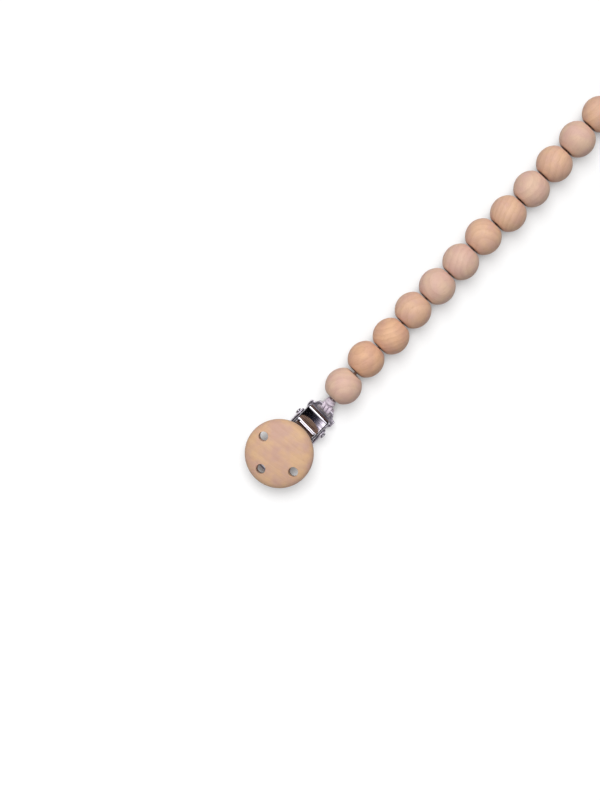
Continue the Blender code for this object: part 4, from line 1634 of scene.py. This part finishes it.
@dataclass
class BeadString:
    """The twelve beads and the cord through each of them."""

    # The string's material, painted dark brown as the shade in the gaps between beads
    cord: Material
    diameter: float = 16.0 * MM
    bore_radius: float = 1.75 * MM
    mouth_radius: float = 2.3 * MM
    mouth_round: float = 0.5 * MM
    cut_radius: float = 4.4 * MM
    cut_rise: float = 0.42 * MM
    crown_radius: float = 4.0 * MM
    crown_round: float = 2.5 * MM
    # The true ball ends at this share of the way to the crown, where the corner's rounding starts
    ball_share: float = 0.85
    mouth_drop: float = 0.25 * MM
    string: float = 1.5 * MM
    string_step: float = 0.25 * MM
    rings: int = 40
    corner_steps: int = 5
    turn_steps: int = 80
    trunk_radius: float = 18.0 * MM
    ring_widths: Point = (1.8, 3.2)
    grain_tilt: float = 0.5
    # How deep the dark ends reach: end grain, and painted shade in the gaps between beads
    dark_end_depth: float = 0.14 * MM
    draw_seed: int = 5
    wood_seed: int = 40
    # How each bead's wood is toned, from the clip on
    tones: Sequence[WoodTone] = (
        WoodTone.ROSY, WoodTone.HONEY, WoodTone.HONEY, WoodTone.WARM, WoodTone.ROSY, WoodTone.ROSY,
        WoodTone.WARM, WoodTone.WARM, WoodTone.ROSY, WoodTone.WARM, WoodTone.ROSY, WoodTone.WARM,
    )

    def half_length(self) -> float:
        """Half of a bead's length along its bore."""
        return math.sqrt((self.diameter / 2) ** 2 - self.cut_radius**2) + self.cut_rise

    def bead(self) -> Mesh:
        """Turns one bead: a ball with two slightly crowned ends and softened mouths.

        Returns:
            The bead, with its bore along Z.
        """
        radius, half = self.diameter / 2, self.half_length()
        top = math.acos(self.crown_radius / radius)
        ball_end = self.ball_share * top
        corners = [
            (self.bore_radius, 0.0, 0.0),
            (self.bore_radius, half - self.mouth_drop, self.mouth_round),
            (self.mouth_radius, half, self.mouth_round),
            (self.crown_radius, radius * math.sin(top), self.crown_round),
            (radius * math.cos(ball_end), radius * math.sin(ball_end), 0.0),
        ]
        mouth = softened(corners, steps=self.corner_steps)
        turns = (ball_end * (1 - 2 * k / self.rings) for k in range(1, self.rings))
        ball = [(radius * math.cos(a), radius * math.sin(a)) for a in turns]
        return lathe([*mouth, *ball, *((r, -z) for r, z in reversed(mouth[1:]))], self.turn_steps)

    def stretch(self, number: int, last: bool) -> Mesh:
        """The cord through one bead, from the gap before it to the gap after it.

        Args:
            number: The bead's number, from 1.
            last: Whether the end knot follows it.

        Returns:
            The cord's mesh, in world places.
        """
        start = joint_point(f"cord_bend_{number:02d}")
        end = end_knot_span()[0] if last else joint_point(f"cord_bend_{number + 1:02d}")
        return cord_mesh(smooth_route([start, end], self.string_step), self.string)

    def build(self) -> None:
        """Makes the beads and the cord between them."""
        draw = random.Random(self.draw_seed)
        for number, tone in enumerate(self.tones, 1):
            mesh = self.stretch(number, number == len(self.tones))
            link, cord = f"link_{number:02d}", f"cord_{number:02d}"
            add_piece(f"string_{number:02d}", mesh, self.cord, link, cord)
            wood = SandedWood(
                tone,
                ring_width=draw.uniform(*self.ring_widths) * MM,
                trunk_radius=self.trunk_radius,
                dark_end_from=self.half_length() - self.dark_end_depth,
            )
            grain = (*(draw.uniform(-self.grain_tilt, self.grain_tilt) for _ in range(2)), 0.0)
            seed = self.wood_seed + number
            material = wood.material(f"sanded_bead_wood_{number:02d}", seed, grain)
            bead, spin = f"bead_{number:02d}", f"bead_{number:02d}_spin"
            matrix = aimed(joint_point(spin), joint_axis(spin))
            add_piece(f"turned_{bead}", self.bead(), material, f"{bead}_body", bead, matrix)


@dataclass
class PacifierLoop:
    """The stopper knot behind the last bead and the cord loop that a pacifier hangs on."""

    cord: Material
    diameter: float = 1.5 * MM
    gap: float = 0.3 * MM
    step: float = 0.3 * MM
    knot_radius: float = 2.4 * MM
    knot_cord: float = 1.1 * MM
    knot_turns: float = 2.2
    points_a_turn: int = 30
    knot_sides: int = 20
    # How far the knot's turns start from its face, how much shorter they are, and how they lean
    knot_start: float = 0.45 * MM
    knot_short: float = 0.5 * MM
    knot_lean: float = 0.15 * MM
    core: float = 2.6 * MM
    body: str = "link_12"
    # The loop's own points in mm: along the chain, across it and above the table
    route: Sequence[Corner] = (
        (0.0, 1.1, 8.0), (2.0, 1.2, 7.9), (5.0, 2.1, 6.2), (8.5, 3.6, 3.2), (12.5, 5.2, 1.3),
        (17.0, 6.6, 0.85), (22.0, 7.7, 0.85), (27.5, 7.9, 0.85), (32.5, 6.1, 0.85), (35.2, 2.2, 0.85),
        (35.0, -2.6, 0.85), (32.0, -6.6, 0.85), (26.8, -8.4, 0.85), (21.0, -8.0, 0.85), (16.0, -6.6, 0.85),
        (12.0, -5.0, 1.4), (8.3, -3.4, 3.3), (5.0, -2.0, 6.3), (2.0, -1.2, 7.9), (0.0, -1.1, 8.0),
    )

    def knot(self, length: float) -> Mesh:
        """Ties the stopper knot along +Z.

        Args:
            length: How long it is from its face to its end.

        Returns:
            The knot.
        """
        route = []
        count = self.knot_turns * self.points_a_turn
        radius = self.knot_radius - self.knot_cord / 2
        for k in range(round(count) + 1):
            a = ROUND * k / self.points_a_turn
            height = self.knot_cord / 2 + self.knot_start
            height += (length - self.knot_cord - self.knot_short) * k / count + self.knot_lean * math.cos(a)
            route.append(Vector((radius * math.cos(a), radius * math.sin(a), height)))
        coil = cord_mesh(route, self.knot_cord, sides=self.knot_sides)
        return together(coil, cord_mesh(upright(0.0, length - self.knot_short), self.core))

    def build(self) -> None:
        middle, long = end_knot_span()
        level = Matrix.Translation(middle) @ Matrix.Rotation(RIGHT, 4, "Y")
        mesh = self.knot(long)
        knot = add_piece("stopper_knot", mesh, self.cord, self.body, "end_knot", level)
        start = Vector((middle.x + long + self.gap, middle.y, 0.0))
        route = [start + Vector([part * MM for part in spot]) for spot in self.route]
        points = smooth_route(route, self.step)
        mesh = cord_mesh(points, self.diameter)
        loop = add_piece("hanging_loop", mesh, self.cord, self.body, "end_loop")


# Table, light and camera


@dataclass
class Studio:
    """A white table under soft light, a dark surround that the metal mirrors, and the camera."""

    # Measured on the photograph, in pixels
    image_size: tuple[int, int] = (600, 800)
    disc_pixel: Point = (279.3, 453.5)
    pixels_a_metre: float = 2309.0
    chain_angle: float = math.radians(46.6)
    camera_elevation: float = math.radians(87.0)
    lens: float = 200.0
    sensor: float = 36.0
    lamp_elevation: float = math.radians(68.0)
    lamp_spread: float = math.radians(50.0)
    lamp_share: float = 0.74
    sky: float = 0.27
    table_size: float = 6.0
    # The table's own white, the glow that lightens the object's shadow on it, and its grey as a light
    table_white: float = 0.62
    table_glow: float = 0.4
    table_bounce: float = 0.22
    # Painted shade: the brown that the table's colour goes to where ambient occlusion finds it shut in,
    # through the vents and under the rims
    painted_table_shade: str = "#6A5850"
    shadow_reach: float = 10.0 * MM
    shadow_span: Point = (0.11, 0.5)
    # The dark surround that the metal mirrors, in the clip's frame
    surround_middle: Corner = (21.0 * MM, 0.0, 9.0 * MM)
    surround_radius: float = 0.5
    surround_azimuths: Point = (math.radians(215.0), math.radians(544.0))
    surround_elevations: Point = (math.radians(-4.0), math.radians(50.0))
    surround_fade: float = math.radians(9.0)
    surround_steps: int = 160
    surround_tones: Sequence[str] = ("#0B0A10", "#CFC6DC", "#272A4A")
    surround_middle_tone_at: float = 0.6
    card_azimuth: float = math.radians(194.0)
    card_elevation: float = math.radians(35.0)
    card_size: Point = (0.16, 0.22)
    card_glow: float = 2.0
    card_light: Corner = (1.0, 0.95, 1.0)

    def table(self) -> None:
        """Lays the table: white where it is looked at, with painted shade in the gaps under the object, and
        pale grey where it only lights the object.
        """
        shape = bmesh.new()
        bmesh.ops.create_grid(shape, x_segments=1, y_segments=1, size=self.table_size)
        floor = placed("table", finished(shape, closed=False))
        nodes = Nodes(bpy.data.materials.new("white_table"))
        # Painted shade from ambient occlusion: only the narrow gaps under the object are shut in enough to go
        # dark
        shut_in = nodes.add("AmbientOcclusion", {"Distance": self.shadow_reach}, samples=16)
        tones = []
        for level in (self.table_white, self.table_glow):
            shut = tuple(level * part for part in linear(self.painted_table_shade))
            free = (level, level, level, 1.0)
            tones.append(nodes.mixed(shut_in.outputs["AO"], self.shadow_span, 1.0, shut, free))
        white = nodes.add("BsdfDiffuse", {"Color": tones[0]}).outputs[0]
        glow = nodes.add("Emission", {"Color": tones[1], "Strength": 1.0}).outputs[0]
        both = nodes.add("AddShader", [white, glow]).outputs[0]
        grey = nodes.add("BsdfDiffuse", {"Color": (*[self.table_bounce] * 3, 1.0)}).outputs[0]
        mix = nodes.add("MixShader", [nodes.seen_rays(), grey, both]).outputs[0]
        nodes.add("OutputMaterial", {"Surface": mix})
        floor.data.materials.append(nodes.owner)

    def world(self) -> None:
        """A white surrounding to look at, and a weaker one that lights the object."""
        nodes = Nodes(bpy.data.worlds.new("studio"))
        strength = nodes.add("MapRange", [nodes.seen_rays(), 0.0, 1.0, self.sky, 1.0]).outputs[0]
        light = nodes.add("Background", {"Color": (1.0, 1.0, 1.0, 1.0), "Strength": strength}).outputs[0]
        nodes.add("OutputWorld", {"Surface": light})
        bpy.context.scene.world = nodes.owner

    def lamp(self) -> None:
        """A large soft light high above the image's top, as even as an overcast sun."""
        data = bpy.data.lights.new("soft_light", "SUN")
        data.angle = self.lamp_spread
        data.energy = self.lamp_share * math.pi / math.sin(self.lamp_elevation)
        away = bearing(RIGHT - self.chain_angle, self.lamp_elevation)
        placed("soft_light", data).rotation_euler = away.to_track_quat("Z", "Y").to_euler()

    def surround(self, matrix: Matrix) -> None:
        """Rings the clip with a dark card that only mirrors see: it gives the plate its black lines.

        Args:
            matrix: Where the ring's middle is and how it is turned.
        """
        shape = bmesh.new()
        layer = shape.verts.layers.float.new("fade")
        start, end = self.surround_azimuths
        columns = []
        for k in range(self.surround_steps + 1):
            azimuth = start + (end - start) * k / self.surround_steps
            places = (bearing(azimuth, height) * self.surround_radius for height in self.surround_elevations)
            column = [shape.verts.new(place) for place in places]
            for spot in column:
                spot[layer] = max(0.0, 1 - (end - azimuth) / self.surround_fade)
            columns.append(column)
        for (a, b), (c, d) in zip(columns, columns[1:]):
            shape.faces.new((a, b, d, c))
        ring = placed("dark_surround", finished(shape, closed=False))
        ring.matrix_world = matrix
        nodes = Nodes(bpy.data.materials.new("dark_card"))
        share = nodes.add("Attribute", attribute_name="fade").outputs["Fac"]
        ramp = nodes.add("ValToRGB", {"Fac": share})
        stops = ramp.color_ramp.elements
        near, far, middle = (linear(tone) for tone in self.surround_tones)
        stops[0].color = near
        stops[1].color = far
        stops.new(self.surround_middle_tone_at).color = middle
        glow = nodes.add("Emission", {"Color": ramp.outputs[0], "Strength": 1.0}).outputs[0]
        nodes.add("OutputMaterial", {"Surface": glow})
        ring.data.materials.append(nodes.owner)
        ring.visible_camera = False
        ring.visible_diffuse = False
        ring.visible_transmission = False
        ring.visible_shadow = False

    def card(self, matrix: Matrix) -> None:
        """A small soft lamp that the thumb tail mirrors as its white third.

        Args:
            matrix: Where the clip is and how it is turned.
        """
        width, height = self.card_size
        data = bpy.data.lights.new("small_card", "AREA")
        data.shape = "RECTANGLE"
        data.size, data.size_y = width, height
        data.energy = self.card_glow * math.pi * width * height
        data.color = self.card_light
        card = placed("small_card", data)
        away = matrix.to_3x3() @ bearing(self.card_azimuth, self.card_elevation)
        card.location = matrix.translation + away * self.surround_radius
        card.rotation_euler = away.to_track_quat("Z", "Y").to_euler()

    def camera(self) -> None:
        """Aims the camera so that the disc lands on its pixel of the photograph."""
        right, up = bearing(-self.chain_angle, 0.0), bearing(RIGHT - self.chain_angle, 0.0)
        low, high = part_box("wood_disc")
        width, height = self.image_size
        aside = (width / 2 - self.disc_pixel[0]) / self.pixels_a_metre
        above = (self.disc_pixel[1] - height / 2) / self.pixels_a_metre
        target = (low + high) / 2 + right * aside + up * above
        away = bearing(-RIGHT - self.chain_angle, self.camera_elevation)
        data = bpy.data.cameras.new("camera")
        data.lens = self.lens
        data.sensor_width = self.sensor
        data.clip_end = 20.0
        distance = self.lens / self.sensor * height / self.pixels_a_metre
        camera = placed("camera", data)
        turn = Matrix((right, away.cross(right), away)).transposed().to_4x4()
        camera.matrix_world = Matrix.Translation(target + away * distance) @ turn
        bpy.context.scene.camera = camera

    def build(self) -> None:
        """Sets the whole stage."""
        self.table()
        self.world()
        self.lamp()
        tail = ClipPlan().matrix() @ Matrix.Translation(self.surround_middle)
        self.surround(tail)
        self.card(tail)
        self.camera()
        bpy.context.scene.view_settings.view_transform = "Standard"
        log.info("stage: table, two lamps, dark surround and the camera")


def main() -> None:
    """Builds the stage and every piece."""
    logging.basicConfig(level=logging.INFO, format="%(name)s: %(message)s")
    Studio().build()
    plan = ClipPlan()
    lever = LeverAssembly(plan)
    cord = WaxedCotton(pale="#EFE2EE", shade="#D8C8D8").material("waxed_cotton_cord")
    # Painted shade: the string inside the beads is dark brown so that the gaps between beads show as dark
    # shadow lines
    gap_shaded_cord = WaxedCotton(pale="#8A6450", shade="#6A4634").material("cord_rubbed_brown_by_the_beads")
    PacifierLoop(cord).build()
    BeadString(gap_shaded_cord).build()
    Tie(plan, cord).build()
    BaseAssembly(plan, lever).build()
    lever.build()
    log.info("sizes written")


if __name__ == "__main__":
    main()
